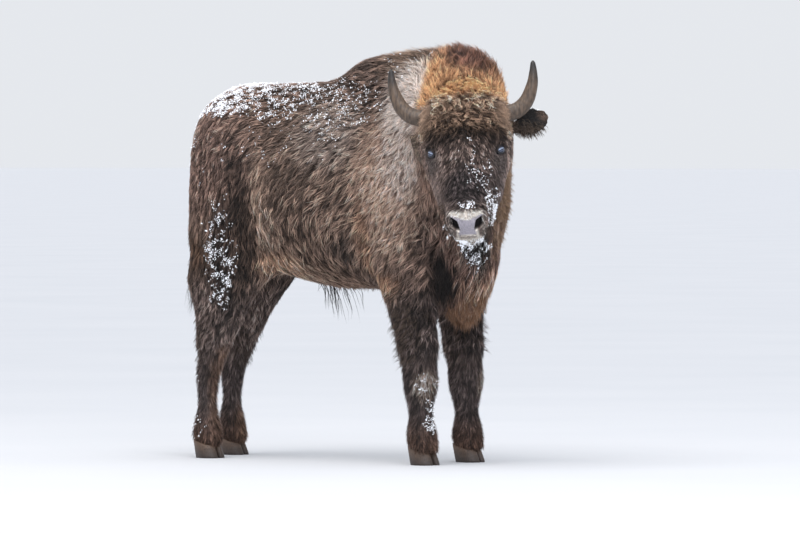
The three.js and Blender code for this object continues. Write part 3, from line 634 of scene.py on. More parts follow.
PARTS = ("trunk", "neck", "head", "front_leg", "hind_leg", "tail", "ear")
TRUNK, NECK, HEAD, FRONT_LEG, HIND_LEG, TAIL, EAR = ((part,) for part in PARTS)
FOREHAND, HAUNCH, LEGS = TRUNK + NECK, TRUNK + HIND_LEG, FRONT_LEG + HIND_LEG
SHOULDER = FOREHAND + FRONT_LEG
FIELDS = ("depth", "length", "width", "lift", "curl", "bare", "contrast")
GROUND = {"depth": 17.0, "length": 54.0, "width": 2.7, "lift": 0.0, "curl": 5.0, "bare": 0.0, "contrast": 1.0}
B, H = Space.BODY, Space.HEAD
ALL = 5000.0
ZONES = (
    # The trunk: dark along the back, paler and longer towards the shoulder, warm under the belly.
    Zone(B, (-300, 0, 1330), (900, 420, 150), "#2b211c", "#6f5c52", depth=15, length=42, contrast=1.25),
    Zone(B, (-860, 0, 1300), (150, 120, 30), "#232224", "#6d6a6b", of=TRUNK),
    Zone(B, (-330, 200, 1130), (140, 150, 110), "#382d28", "#a08e83", length=44, of=TRUNK),
    Zone(B, (-400, 260, 780), (330, 260, 190), "#31251f", "#7d685b", depth=19, length=60, curl=7,
         contrast=1.4),
    Zone(B, (-300, 0, 590), (480, 230, 70), "#3a2d26", "#8c7466", depth=19, length=60, lift=4),
    Zone(B, (-880, 0, 1080), (260, 420, 260), "#33261f", "#93786c", depth=13, length=40, contrast=1.2,
         of=HAUNCH),
    Zone(B, (40, 240, 1000), (200, 260, 330), "#43362f", "#ae8f7f", depth=21, length=50, width=2.0, curl=6,
         contrast=0.75, of=SHOULDER),
    Zone(B, (60, 0, 1400), (230, 260, 130), "#33271f", "#8a7464", depth=34, length=58, width=2.4, lift=12,
         curl=9, of=FOREHAND),
    Zone(B, (40, 230, 700), (200, 240, 190), "#2a211c", "#715e54", depth=21, length=52, width=2.3, curl=9,
         contrast=1.3, of=SHOULDER),
    # Behind the bent neck a broad pale stripe of soft wool runs from the withers down the right shoulder.
    Zone(B, (-80, -205, 980), (115, 120, 250), "#6c564a", "#d8b6a1", depth=20, length=44, width=2.1, curl=5,
         contrast=0.75, both=False, of=FOREHAND),
    Zone(B, (-15, -205, 1110), (80, 120, 190), "#8f7b70", "#f3dacb", depth=20, length=38, width=2.0, curl=5,
         contrast=0.75, both=False, of=FOREHAND),
    Zone(B, (-45, -175, 1250), (90, 110, 120), "#bfa99a", "#f4e4d9", depth=20, length=32, width=1.9, curl=4,
         contrast=0.35, both=False, of=FOREHAND),
    # A pale fold of loose skin hangs before the thigh, painted pale as painted light on its lit face; the
    # dark groove behind it is painted shade, in the zones with the legs.
    Zone(B, (-620, 220, 870), (50, 110, 170), "#4f3f36", "#a68c7b", soft=0.6, of=HAUNCH),
    Zone(B, (-610, 200, 690), (90, 130, 50), "#6a5040", "#c09c84", of=HAUNCH),
    # Where the shoulder ends against the ribs its edge is rusty, and the ribs behind it are in shade.
    Zone(B, (-185, 205, 760), (30, 90, 160), "#49372d", "#a07f6a", of=TRUNK),
    Zone(B, (-120, 180, 620), (90, 90, 50), "#4f392d", "#ac8870", of=TRUNK + FRONT_LEG),
    Zone(B, (-290, 230, 740), (70, 90, 60), "#1f1815", "#5a4b42", curl=9, of=TRUNK),
    # The neck: greyish tan and woolly beside the horn, rusty at the throat and the brisket.
    Zone(B, (250, -170, 1090), (120, 170, 200), "#4a3e36", "#a8907f", depth=24, length=44, width=1.9, curl=6,
         of=FOREHAND),
    Zone(B, (230, -80, 720), (160, 190, 150), "#2c211c", "#8e7266", depth=24, length=78, width=2.1, curl=9,
         contrast=1.4, both=False, of=FOREHAND),
    Zone(B, (200, 0, 560), (190, 170, 110), "#38291f", "#b08c78", depth=26, length=70, width=2.1, lift=6,
         curl=7, contrast=1.5, of=FOREHAND),
    # The crest behind the forehead: long, upright and orange, dark and curly on top.
    Zone(H, (-150, -6, -110), (190, 142, 190), "#8c6240", "#efb888", depth=34, length=34, width=1.8, lift=16,
         curl=7, contrast=0.55, soft=0.15, both=False, of=FOREHAND),
    Zone(H, (-254, 10, -150), (158, 112, 156), "#291c16", "#5d4136", depth=34, length=34, width=2.0, lift=18,
         curl=11, contrast=1.4, both=False, soft=0.6, of=FOREHAND),
    # The fold between the neck and the near upper arm is painted nearly black, as painted shade in the
    # crease.
    Zone(B, (88, 128, 640), (48, 68, 130), "#0a0807", "#1f1917", contrast=0.8, soft=0.35, of=SHOULDER),
    # Legs: dark and short, reddish at the pasterns.
    Zone(B, (-900, 200, 800), (220, 260, 170), "#2c211b", "#705848", depth=13, length=38, width=2.6,
         of=HIND_LEG),
    Zone(B, (-870, 200, 480), (300, 260, 170), "#1d1613", "#7a6a63", depth=10, length=32, width=2.3, lift=5,
         curl=4, contrast=1.4, of=HIND_LEG),
    # Painted shade in the groove before the thigh and along the thigh's front edge.
    Zone(B, (-780, 215, 700), (90, 120, 190), "#0a0807", "#332a27", contrast=1.3, lift=3, soft=0.6,
         of=HAUNCH),
    Zone(B, (-738, 220, 790), (58, 110, 250), "#120d0b", "#483a32", soft=0.6, of=HAUNCH),
    Zone(B, (60, 150, 480), (260, 260, 130), "#110d0b", "#4a403d", depth=12, length=42, width=2.2, lift=6,
         curl=7, contrast=1.9, of=FRONT_LEG),
    Zone(B, (0, 0, 190), (ALL, ALL, 190), "#181311", "#665a57", depth=5, length=22, width=1.9, lift=8, curl=2,
         contrast=1.15, of=LEGS),
    Zone(B, (0, 0, 40), (ALL, ALL, 90), "#231813", "#6e564a", depth=5, length=22, width=1.9, lift=6, curl=2,
         contrast=1.2, soft=0.8, of=LEGS),
    # A paler, worn patch on each knee, and a warm streak down the front of each hind cannon.
    Zone(B, (60, 180, 275), (46, 42, 46), "#43342c", "#e4cbb8", length=18, lift=5, contrast=2.0, soft=0.6,
         of=FRONT_LEG),
    Zone(B, (-878, -138, 220), (28, 50, 130), "#433229", "#937767", lift=14, contrast=1.0, both=False,
         of=HIND_LEG),
    Zone(B, (-838, -138, 340), (34, 50, 60), "#433229", "#937767", contrast=1.0, both=False, of=HIND_LEG),
    Zone(B, (-972, 138, 120), (28, 50, 110), "#3f2e26", "#8f7261", lift=8, contrast=1.0, both=False,
         of=HIND_LEG),
    # The tail.
    Zone(B, (-1000, 0, 900), (200, 300, 500), "#2e231d", "#755d4d", depth=5, length=34, width=3.2, curl=2,
         of=TAIL),
    # The head: a short dark face under a deep curly forelock.
    Zone(H, (200, 0, -60), (ALL, ALL, ALL), "#221b18", "#75645c", depth=6, length=19, width=1.8, lift=3,
         curl=1.5, contrast=1.7, soft=0.2, of=HEAD),
    Zone(H, (210, 110, -130), (180, 70, 90), "#382d28", "#715f57", depth=9, length=26, width=2.2, lift=5,
         curl=3, contrast=1.5, of=HEAD),
    Zone(H, (270, 84, -60), (120, 28, 60), "#453a35", "#928078", contrast=0.8, of=HEAD),
    Zone(H, (250, 92, -80), (110, 34, 60), "#332a27", "#766863", contrast=1.2, both=False, of=HEAD),
    Zone(H, (300, 0, -30), (90, 70, 70), "#110e0d", "#463e3d", length=17, of=HEAD),
    Zone(H, (90, 0, -10), (60, 150, 110), "#120d0b", "#302722", depth=15, length=28, width=1.8, lift=3,
         curl=5, contrast=2.0, of=HEAD),
    Zone(H, (16, 0, -20), (84, 160, 130), "#1a130f", "#7f6857", depth=27, length=34, width=1.7, lift=8,
         curl=7, contrast=1.5, soft=0.3, of=HEAD),
    Zone(H, (-20, 0, -10), (44, 170, 130), "#2c2119", "#b5967f", depth=29, length=32, width=1.7, lift=10,
         curl=7, contrast=1.4, of=HEAD),
    Zone(H, (-104, 0, 10), (72, 160, 130), "#8c6240", "#efb888", depth=30, length=32, width=1.8, lift=10,
         curl=7, contrast=0.55, soft=0.2, of=HEAD),
    Zone(H, (28, 146, -30), (52, 30, 50), "#4d3c30", "#a68b75", depth=10, length=34, width=2.1, lift=10,
         curl=6, of=HEAD),
    Zone(H, (172, 100, -60), (46, 34, 44), "#2f2927", "#6b605b", depth=4, length=8, width=1.7, lift=0,
         contrast=0.8, of=HEAD),
    Zone(H, (152, 109, -50), (25, 21, 40), bare=1.0, soft=0.15, of=HEAD),
    Zone(H, (330, 0, -180), (150, 90, 60), "#2b211c", "#6b5342", depth=10, length=36, width=2.4, lift=4,
         curl=3, of=HEAD),
    # The ears: brown behind and at the rim, nearly black inside.
    Zone(H, (46, 0, -98), (ALL, ALL, ALL), "#080606", "#1b1512", depth=0, length=18, width=1.9, curl=2,
         contrast=1.2, of=EAR),
    Zone(H, (16, 212, -82), (56, 66, 22), "#050404", "#171211", soft=0.3, both=False, of=EAR),
    Zone(H, (-20, 266, -104), (36, 32, 60), "#2c211b", "#6c584c", both=False, of=EAR),
    Zone(H, (60, -150, -110), (90, 70, 70), "#453931", "#8f7c6b", length=30, width=1.9, lift=8, curl=5,
         contrast=1.0, both=False, of=EAR),
)


@dataclass(frozen=True)
class Lie:
    """The way the hair runs near one place: fore, outward and up, or along, outward and out on the head."""

    space: Space
    centre: Triple
    way: Triple
    reach: float = 150.0
    hold: float = 1.0


LIES = (
    Lie(B, (-800, 60, 1290), (-1, 0.25, -0.1)),
    Lie(B, (-400, 60, 1300), (-1, 0.3, -0.1)),
    Lie(B, (-50, 60, 1390), (-1, 0.35, 0.1)),
    Lie(B, (-1010, 150, 1120), (-0.25, 0, -1)),
    Lie(B, (-800, 250, 1120), (-0.75, 0, -0.7)),
    Lie(B, (-900, 250, 900), (-0.15, 0, -1)),
    Lie(B, (-1000, 150, 850), (-0.05, 0, -1)),
    Lie(B, (-640, 270, 860), (0.05, 0, -1), 110),
    Lie(B, (-560, 270, 1180), (-0.95, 0, -0.45)),
    Lie(B, (-250, 280, 1130), (-0.85, 0, -0.6)),
    Lie(B, (-380, 300, 920), (-0.8, 0, -0.75)),
    Lie(B, (-150, 290, 780), (-0.8, 0, -0.65)),
    Lie(B, (-500, 250, 720), (0.6, 0, -0.75), 110),
    Lie(B, (-350, 150, 620), (0.75, 0, -0.35), 110),
    Lie(B, (-120, 150, 620), (-0.5, 0, -0.6), 110),
    Lie(B, (0, 230, 1270), (-0.6, 0, -0.8)),
    Lie(B, (80, 240, 1000), (-0.3, 0, -1)),
    Lie(B, (80, 240, 750), (-0.35, 0, -1)),
    Lie(B, (-60, 240, 640), (-0.5, 0, -0.9)),
    Lie(B, (260, -100, 1080), (-0.3, 0, -1)),
    Lie(B, (260, 0, 800), (0, 0, -1)),
    Lie(B, (200, 60, 560), (-0.1, 0, -1)),
    Lie(B, (130, -60, 1420), (-0.1, -0.05, 1), 90, 2),
    Lie(B, (60, -165, 1330), (0.1, 0.05, 1), 80, 3),
    Lie(B, (190, -160, 1340), (0.1, 0.05, 1), 100, 3),
    Lie(B, (270, -70, 1270), (0.1, -0.3, 1), 80, 2),
    Lie(B, (0, 200, 400), (-0.15, 0, -1), 200),
    Lie(B, (0, 200, 100), (-0.1, 0, -1), 200),
    Lie(B, (-900, 200, 500), (-0.2, 0, -1), 200),
    Lie(B, (-950, 200, 150), (-0.1, 0, -1), 250),
)
HEAD_LIES = (
    Lie(H, (-90, 0, -30), (-0.3, 0.1, 1), 60),
    Lie(H, (-40, 0, 60), (0.7, 0.1, 0.7), 60),
    Lie(H, (40, 60, 40), (1, 0.35, 0), 70),
    Lie(H, (140, 30, 10), (1, 0.3, 0), 70),
    Lie(H, (300, 20, 0), (1, 0.25, 0), 80),
    Lie(H, (200, 110, -90), (0.5, 0.3, -0.9), 70),
    Lie(H, (300, 90, -130), (0.1, 0.2, -1), 80),
    Lie(H, (400, 50, -60), (0.3, 0.8, -0.5), 50),
    Lie(H, (60, 130, -120), (0.3, 0.3, -1), 80),
    Lie(H, (300, 20, -200), (0.6, 0.1, -0.8), 80),
    Lie(H, (420, 20, -150), (0.3, 0.3, -0.9), 40),
)


@dataclass(frozen=True)
class Muzzle:
    """The bare nose pad and the cream ring round it, measured down the face from the poll."""

    pad_top: float = 377.0
    pad_foot: float = 428.0
    ring_top: float = 344.0
    lip_foot: float = 456.0
    pad_tone: str = "#9a959d"
    ring_tone: str = "#f2e8dd"
    wing_tone: str = "#6b5b54"
    nostril: Triple = (434.0, 42.0, -41.0)
    aim: Triple = (0.74, 0.4, 0.54)  # out of the left nostril
    course: Triple = (0.55, -0.62, -0.56)  # from its wide outer top to its narrow foot
    # The near black of the nostrils and the mouth's line: their lining's own dark and painted shade in the
    # hollows.
    lining_and_shade: str = "#171415"
    root_shade: float = 0.95
    ring_coat: dict[str, float] = field(
        default_factory=lambda: dict(depth=3.0, length=8.0, width=1.5, lift=0.0, curl=0.5, contrast=0.45)
    )
    long: float = 29.0  # half the length of a nostril
    girths: tuple[tuple[float, ...], ...] = ((-26, -4, 24), (10, 17, 9))  # half its width along its course
    # Half the pad's width, down from its top.
    halves: tuple[tuple[float, ...], ...] = ((-14, 0, 15, 29, 38, 51), (54, 44, 32, 25, 26, 29))
    arch: float = 0.36  # how steeply the pad's top runs up to the nostrils

    def around(self, head: Array, side: Side) -> Array:
        """How far points lie from the middle of a nostril, a comma wide at its outer top: 1 at its rim.

        Args:
            head: Points in the head's measures.
            side: Which nostril.

        Returns:
            One distance for each point.
        """
        turn = np.array([1, side.value, 1])
        aim, course = unit(np.array(self.aim) * turn), unit(np.array(self.course) * turn)
        offset = head - np.array(self.nostril) * turn
        down = offset @ course
        rest = offset - down[:, None] * course - (offset @ aim)[:, None] * aim
        girth = np.interp(down, *self.girths)
        far = np.abs(offset @ aim) > 40
        return np.hypot(np.linalg.norm(rest, axis=1) / girth, down / self.long) + 9.0 * far

    def down(self, head: Array) -> Array:
        """How far down a point lies, square to the tilt of the face."""
        slope = math.radians(STANCE.face_slope)
        return head[:, 0] * math.cos(slope) - head[:, 2] * math.sin(slope)

    def weights(self, head: Array, share: Array) -> tuple[Array, ...]:
        """How far each point lies on the pad, in the ring, and on the brown wings beside the nostrils.

        Args:
            head: Points in the head's measures.
            share: How far each point belongs to the head.

        Returns:
            The pad's, the ring's and the wings' weights.
        """
        down, wide = self.down(head), np.abs(head[:, 1])
        top, foot = self.pad_top, self.pad_foot
        half = np.interp(down - top, *self.halves)
        front = share * step_up(head[:, 0], 372, 396)
        arch = top + 3 - self.arch * wide
        pad = front * (1 - step_up(wide, half - 2, half + 3)) * step_up(down, arch - 3, arch + 2)
        pad = pad * (1 - step_up(down, foot - 2, foot + 3))
        ring = front * (1 - step_up(wide, 40, 62)) * step_up(down, self.ring_top - 5, self.ring_top + 8)
        ring = ring * (1 - step_up(down, self.lip_foot - 8, self.lip_foot + 4))
        wing = ring * step_up(wide, 30, 39) * step_up(down, top - 6, top + 6)
        wing = wing * (1 - step_up(down, foot, foot + 10))
        lip = ring * np.exp(-(((down - foot - 7) / 4) ** 2)) * (1 - step_up(wide, 22, 32))
        return pad, ring, np.maximum(wing, 0.7 * lip)


MUZZLE = Muzzle()


@dataclass
class Coat:
    """Every measure of the coat at any point of the body."""

    zones: tuple[Zone, ...] = ZONES
    root: str = "#3a2d26"
    tip: str = "#8b7567"
    patches: tuple[tuple[float, int, int], ...] = ((0.13, 210, 3), (0.16, 60, 4))  # strength, mm across, seed
    ears: tuple[Triple, ...] = ((-0.46, 0.87, -0.12), (0.1, -0.42, -0.9))  # left, right

    def at(self, points: Array, share: Array) -> dict[str, Array]:
        """Blends the zones at some points.

        Args:
            points: Points in metres.
            share: How far each belongs to each part of the body.

        Returns:
            A value for each field, in millimetres, and the root and tip colours.
        """
        places = {space: STANCE.measured(points, space) for space in Space}
        found = {name: np.full(len(points), GROUND[name]) for name in FIELDS}
        for name, code in (("root", self.root), ("tip", self.tip)):
            found[name] = np.tile(linear(code), (len(points), 1))
        for zone in self.zones:
            held = zone.weight(places, share)
            for name in FIELDS:
                wanted = getattr(zone, name)
                if wanted is not None:
                    found[name] += held * (wanted - found[name])
            for name in ("root", "tip"):
                code = getattr(zone, name)
                if code is not None:
                    found[name] += held[:, None] * (linear(code) - found[name])
        head = places[Space.HEAD]
        pad, ring, wing = MUZZLE.weights(head, share[:, PARTS.index("head")])
        for name, shade in (("root", MUZZLE.root_shade), ("tip", 1.0)):
            found[name] += ring[:, None] * (linear(MUZZLE.ring_tone) * shade - found[name])
            found[name] += wing[:, None] * (linear(MUZZLE.wing_tone) * shade - found[name])
            found[name] += pad[:, None] * (linear(MUZZLE.pad_tone) - found[name])
        for name, short in MUZZLE.ring_coat.items():
            found[name] += ring * (short - found[name])
        found["depth"] += pad * (1.0 - found["depth"])
        rim = np.minimum(*(MUZZLE.around(head, side) for side in Side))
        naked = np.maximum(pad, (1 - step_up(rim, 1.0, 1.35)) * np.clip(2 * ring, 0, 1))
        found["bare"] = np.maximum(found["bare"], naked)
        # Broad patches of lighter and darker wool, and smaller ones within them.
        wool = sum(much * mottle(points / MM, size, seed) for much, size, seed in self.patches)
        tone = 1 + found["contrast"] * wool
        for name in ("root", "tip"):
            found[name] = np.clip(found[name] * tone[:, None], 0, 1)
        return found

    def lie(self, points: Array, normals: Array, share: Array) -> Array:
        """The way the hair runs along the surface at some points.

        Args:
            points: Points in metres.
            normals: The surface's normals there.
            share: How far each belongs to each part of the body.

        Returns:
            Directions along the surface, at length one.
        """
        on_head = np.clip(share[:, PARTS.index("head")] * 1.5, 0, 1)[:, None]
        ways = np.zeros_like(points)
        for lies, held in ((LIES, 1 - on_head), (HEAD_LIES, on_head)):
            space = lies[0].space
            here = STANCE.measured(points, space)
            side = np.where(here[:, 1] < 0, -1.0, 1.0)
            folded = here * np.stack([np.ones_like(side), side, np.ones_like(side)], 1)
            sum_ways = np.zeros_like(points)
            for lie in lies:
                centre = np.array(lie.centre)
                place = here if centre[1] < 0 else folded
                near = lie.hold * np.exp(-((place - centre) ** 2).sum(1) / (2 * lie.reach**2)) + 1e-9
                way = np.tile(np.array(lie.way, float), (len(points), 1))
                way[:, 1] *= side
                sum_ways += near[:, None] * unit(way)
            ways += held * STANCE.ways(unit(sum_ways), space)
        ear = share[:, PARTS.index("ear")] > 0.5
        left_of = np.sign(STANCE.measured(points, Space.HEAD)[:, 1])
        for side, out in zip(Side, self.ears):
            ways[ear & (left_of == side.value)] = STANCE.ways(np.array([out]), Space.HEAD)
        ways[share[:, PARTS.index("tail")] > 0.5] = (0, 0.05, -1)
        return across(ways, normals)


COAT_PLAN = Coat()


# ---- The hide ----


def laplace(values: Array, edges: Array, rate: Array | float, rounds: int) -> Array:
    """Evens values out along a mesh's edges.

    Args:
        values: One row for each vertex.
        edges: Pairs of vertex numbers.
        rate: How far each vertex, or all, goes to its neighbours' mean in a round.
        rounds: How many rounds.

    Returns:
        The evened values.
    """
    values = values.copy()
    near, far, count = edges[:, 0], edges[:, 1], len(values)
    joined = np.maximum(np.bincount(edges.ravel(), minlength=count), 1)
    for _ in range(rounds):
        for column in range(values.shape[1]):
            row = values[:, column]
            total = np.bincount(near, row[far], count) + np.bincount(far, row[near], count)
            values[:, column] = row + rate * (total / joined - row)
    return values


def normals_of(points: Array, triangles: Array) -> Array:
    """Finds the vertex normals, weighted by area.

    Args:
        points: The vertices.
        triangles: The triangles' corners.

    Returns:
        One unit normal for each vertex.
    """
    a, b, c = (points[triangles[:, n]] for n in range(3))
    flat = np.cross(b - a, c - a)
    total = np.zeros_like(points)
    for corner in range(3):
        for axis in range(3):
            total[:, axis] += np.bincount(triangles[:, corner], flat[:, axis], len(points))
    return unit(total)


def grid_of(mesh: Mesh) -> tuple[Array, Array, Array]:
    """Reads a mesh into arrays.

    Args:
        mesh: The mesh.

    Returns:
        Its points, edges and triangles.
    """
    points = np.empty(len(mesh.vertices) * 3)
    mesh.vertices.foreach_get("co", points)
    edges = np.empty(len(mesh.edges) * 2, np.int64)
    mesh.edges.foreach_get("vertices", edges)
    mesh.calc_loop_triangles()
    triangles = np.empty(len(mesh.loop_triangles) * 3, np.int64)
    mesh.loop_triangles.foreach_get("vertices", triangles)
    return points.reshape(-1, 3), edges.reshape(-1, 2), triangles.reshape(-1, 3)


@dataclass(frozen=True)
class Fold:
    """A fold or a groove of the hide along a line of the body, on both sides. Lengths are in millimetres."""

    start: Triple
    end: Triple
    reach: float
    rise: float

    def raised(self, body: Array) -> Array:
        """Works out how far the hide rises.

        Args:
            body: Its points in the body's measures.

        Returns:
            The rise of each, in millimetres.
        """
        folded = body * np.where(body[:, 1:2] < 0, [[1, -1, 1]], [[1, 1, 1]])
        start, line = np.array(self.start), np.array(self.end) - np.array(self.start)
        share = np.clip((folded - start) @ line / (line @ line), 0, 1)
        away = np.linalg.norm(folded - start - share[:, None] * line, axis=1)
        return self.rise * np.exp(-((away / self.reach) ** 2))


FOLDS = (
    Fold((-725, 225, 980), (-705, 210, 590), 46, -22),  # the groove before the thigh
    Fold((-630, 235, 980), (-605, 215, 730), 44, 12),  # the loose fold of the flank
    Fold((-205, 240, 900), (-165, 220, 640), 30, -11),  # behind the shoulder
    Fold((84, 145, 780), (90, 130, 560), 26, -14),  # between the arm and the brisket
)


@dataclass
class Hole:
    """The setting of one eye: where the ball is and which way it looks."""

    side: Side
    place: Triple = (152.0, 109.0, -50.0)
    aim: Triple = (0.02, 0.64, 0.77)
    slit: Triple = (0.82, 0.44, 0.36)  # down the face to the inner corner

    @property
    def centre(self) -> Array:
        """The ball's middle in the frame."""
        along, left, out = self.place
        return STANCE.head((along, left * self.side.value, out))[0]

    @property
    def axes(self) -> Array:
        """Rows: along the slit towards the nose, across it upwards, and out of the ball."""
        turn = np.array([1, self.side.value, 1])
        out = unit(np.array(self.aim) * turn)
        slit = np.array(self.slit) * [1, -self.side.value, 1]
        slit = unit(slit - (slit @ out) * out)
        rows = np.stack([slit, np.cross(slit, out) * self.side.value, out])
        return rows @ STANCE.axes


@dataclass
class Skin:
    """The one hide that stands for all the flesh, a coat's depth inside it, with sockets, nose and mouth."""

    voxel: float = 0.0098
    rounds: int = 32
    ball: float = 20.0
    lid: float = 2.4
    slit: Pair = (20.5, 16.5)  # half the opening for the eye
    socket: Pair = (21.0, 42.0)  # how far out its form holds, and ends
    behind: float = -6.0  # where the hide lies behind the ball
    hollow_depth: float = 20.0  # of a nostril
    wing_rise: float = 4.2  # of the rim round a nostril
    lip_depth: float = 5.0  # of the line of the mouth
    eye_dark: str = "#3a3332"
    parts: dict[str, str] = field(
        default_factory=lambda: {
            **{node: node for node in ("trunk", "neck", "head", "tail")},
            **{f"ear_{side}": "ear" for side in ("left", "right")},
            **{f"leg_{end}_{side}": f"{end}_leg" for end in ("front", "hind") for side in ("left", "right")},
        }
    )
    calm: tuple[float, ...] = (0.55, 0.5, 0.2, 0.22, 0.26, 0.12, 0.05)  # how far each of PARTS is evened
    finer: tuple[tuple[tuple[float, ...], ...], ...] = (  # balls of the head with smaller squares
        ((130, 0, -30, 165), (330, 0, -70, 150)),
        ((152, 109, -50, 46), (152, -109, -50, 46), (425, 0, -70, 78)),
    )

    def build(self) -> Object:
        """Casts, evens, sinks, sculpts, unwraps and paints the hide.

        Returns:
            The hide's object.
        """
        mesh = even_squares("skin", tuple(self.parts), self.voxel)
        points, edges, triangles = grid_of(mesh)
        share = laplace(self.shares(points), edges, 0.5, 6)
        rate = share @ np.array(self.calm)
        even = laplace(points, edges, rate, self.rounds)
        normals = normals_of(even, triangles)
        lost = ((points - even) * normals).sum(1, keepdims=True)
        points = even + normals * laplace(lost, edges, 0.5, 30)
        fields = COAT_PLAN.at(points, share)
        normals = normals_of(points, triangles)
        depth = laplace(fields["depth"][:, None], edges, 0.5, 10)
        points = points - normals * depth * MM
        points = laplace(points, edges, rate * 0.8, 6)
        points[:, 2] = np.maximum(points[:, 2], 0.02)
        coarse = finder_of(points)
        mesh.vertices.foreach_set("co", points.ravel())
        for level in self.finer:
            self.refine(mesh, level)
        points, edges, triangles = grid_of(mesh)
        share = share[[coarse.find(point)[1] for point in points]]
        points = self.sculpt(points, triangles)
        reshape(mesh, points)
        piece = mount("skin", mesh, HIDE, tuple(self.parts))
        self.unwrap(piece)
        self.points, self.triangles, self.share = points, triangles, share
        self.normals = normals_of(points, triangles)
        self.fields = COAT_PLAN.at(points, share)
        self.flow = COAT_PLAN.lie(points, self.normals, share)
        a, b, c = (points[triangles[:, n]] for n in range(3))
        self.area = np.linalg.norm(np.cross(b - a, c - a), axis=1) / 2
        loops = np.empty(len(triangles) * 3, np.int64)
        mesh.calc_loop_triangles()
        mesh.loop_triangles.foreach_get("loops", loops)
        flat = np.empty(len(mesh.loops) * 2)
        mesh.uv_layers[0].data.foreach_get("uv", flat)
        self.unwrapped = flat.reshape(-1, 2)[loops].reshape(-1, 3, 2)
        self.finder = finder_of(points)
        paint(mesh, self.colours())
        return piece

    def shares(self, points: Array) -> Array:
        """Which part of the body each point lies on.

        Args:
            points: Points in metres.

        Returns:
            A row for each point with 1 under its part.
        """
        best = np.full(len(points), 1e9)
        part_of = np.zeros(len(points), int)
        for node, part in self.parts.items():
            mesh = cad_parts[node].data
            corners = [vertex.co for vertex in mesh.vertices]
            tree = BVHTree.FromPolygons(corners, [tuple(face.vertices) for face in mesh.polygons])
            low, high = (np.array(corner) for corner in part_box(node))
            near = np.flatnonzero(((points > low - 0.02) & (points < high + 0.02)).all(1))
            away = np.array([tree.find_nearest(points[n])[3] for n in near])
            closer = away < best[near]
            best[near[closer]] = away[closer]
            part_of[near[closer]] = PARTS.index(part)
        return np.eye(len(PARTS))[part_of]

    def refine(self, mesh: Mesh, balls: tuple[tuple[float, ...], ...]) -> None:
        """Halves the squares inside some balls.

        Args:
            mesh: The hide.
            balls: Along, left and out in the head's measures, and the radius.
        """
        work = bmesh.new()
        work.from_mesh(mesh)
        centres = [(Vector(STANCE.head(ball[:3])[0]), ball[3] * MM) for ball in balls]
        halfway = ((edge, (edge.verts[0].co + edge.verts[1].co) / 2) for edge in work.edges)
        chosen = [edge for edge, middle in halfway if any((middle - c).length < r for c, r in centres)]
        bmesh.ops.subdivide_edges(work, edges=chosen, cuts=1, use_grid_fill=True)
        bmesh.ops.triangulate(work, faces=[f for f in work.faces if len(f.verts) > 4])
        work.to_mesh(mesh)
        work.free()

    def sculpt(self, points: Array, triangles: Array) -> Array:
        """Presses in folds, eye sockets, nostrils and mouth, and raises the lids and the nostrils' wings.

        Args:
            points: The hide's points.
            triangles: Its triangles.

        Returns:
            The moved points.
        """
        body = STANCE.measured(points, Space.BODY)
        rise = sum(fold.raised(body) for fold in FOLDS)
        points = points + normals_of(points, triangles) * rise[:, None] * MM
        for side in Side:
            hole = Hole(side)
            own = (points - hole.centre) @ hole.axes.T / MM
            away = np.linalg.norm(own[:, :2], axis=1)
            near = (away < 48) & (own[:, 2] > -30)
            slit = (own[:, 0] / self.slit[0]) ** 2 + (own[:, 1] / self.slit[1]) ** 2
            cap = np.sqrt(np.maximum(self.ball**2 - away**2, 9)) + self.lid
            wanted = np.where(slit < 1, self.behind, cap)
            held = (1 - step_up(away, *self.socket)) * near
            own[:, 2] += held * (wanted - own[:, 2])
            points[near] = (own @ hole.axes * MM + hole.centre)[near]
        head, self.hollow = STANCE.measured(points, Space.HEAD), 0
        for side in Side:
            round_it = MUZZLE.around(head, side)
            inside = 1 - step_up(round_it, 0.7, 1.1)
            wing = np.exp(-((round_it - 1.4) ** 2) / 0.1)
            aim = unit(np.array(MUZZLE.aim) * [1, side.value, 1])
            head = head - aim * (inside * self.hollow_depth - wing * self.wing_rise)[:, None]
            self.hollow = self.hollow + 1 - step_up(round_it, 0.85, 1.12)
        wide = np.abs(head[:, 1])
        line = MUZZLE.lip_foot - 4 - 0.10 * wide
        cleft = np.exp(-(((MUZZLE.down(head) - line) / 3.5) ** 2))
        self.mouth = cleft * step_up(head[:, 0], 300, 340) * (1 - step_up(wide, 60, 80))
        head[:, 0] -= self.lip_depth * self.mouth
        return STANCE.body(*STANCE.poll) + head @ STANCE.axes * MM

    def unwrap(self, piece: Object) -> None:
        """Unwraps the hide by the turn of its own faces, into the map that the coat shares.

        Args:
            piece: The hide.
        """
        bpy.context.view_layer.objects.active = piece
        piece.select_set(True)
        bpy.ops.object.mode_set(mode="EDIT")
        bpy.ops.mesh.select_all(action="SELECT")
        bpy.ops.uv.smart_project(angle_limit=math.radians(75), island_margin=0.001)
        bpy.ops.object.mode_set(mode="OBJECT")
        piece.select_set(False)
        piece.data.uv_layers[0].name = "OFBake"

    def colours(self) -> Array:
        """Gives the hide the coat's markings, darker under long hair, and bare skin at eyes, nose and mouth,
        with the nostrils and the mouth's line painted near black for their lining's own dark and painted
        shade.

        Returns:
            One linear colour for each point.
        """
        fields = self.fields
        short = (1 - step_up(fields["depth"], 6, 18))[:, None]
        shade = 0.30 + 0.25 * short
        tone = fields["root"] * (1 - shade) + fields["tip"] * shade
        tone += fields["bare"][:, None] * (fields["tip"] - tone)
        # The nostrils and the line of the mouth are painted near black: their own dark lining, and painted
        # shade in the hollows.
        for amount in (self.hollow, self.mouth * 0.85):
            tone += np.clip(amount, 0, 1)[:, None] * (linear(MUZZLE.lining_and_shade) - tone)
        for side in Side:
            hole = Hole(side)
            own = (self.points - hole.centre) @ hole.axes.T / MM
            away = np.hypot(own[:, 0] / 27, (own[:, 1] + 3) / 17)
            bare = (1 - step_up(away, 0.8, 1.4)) * (own[:, 2] > -25)
            tone += bare[:, None] * (linear(self.eye_dark) - tone)
        return tone


# ---- The coat ----


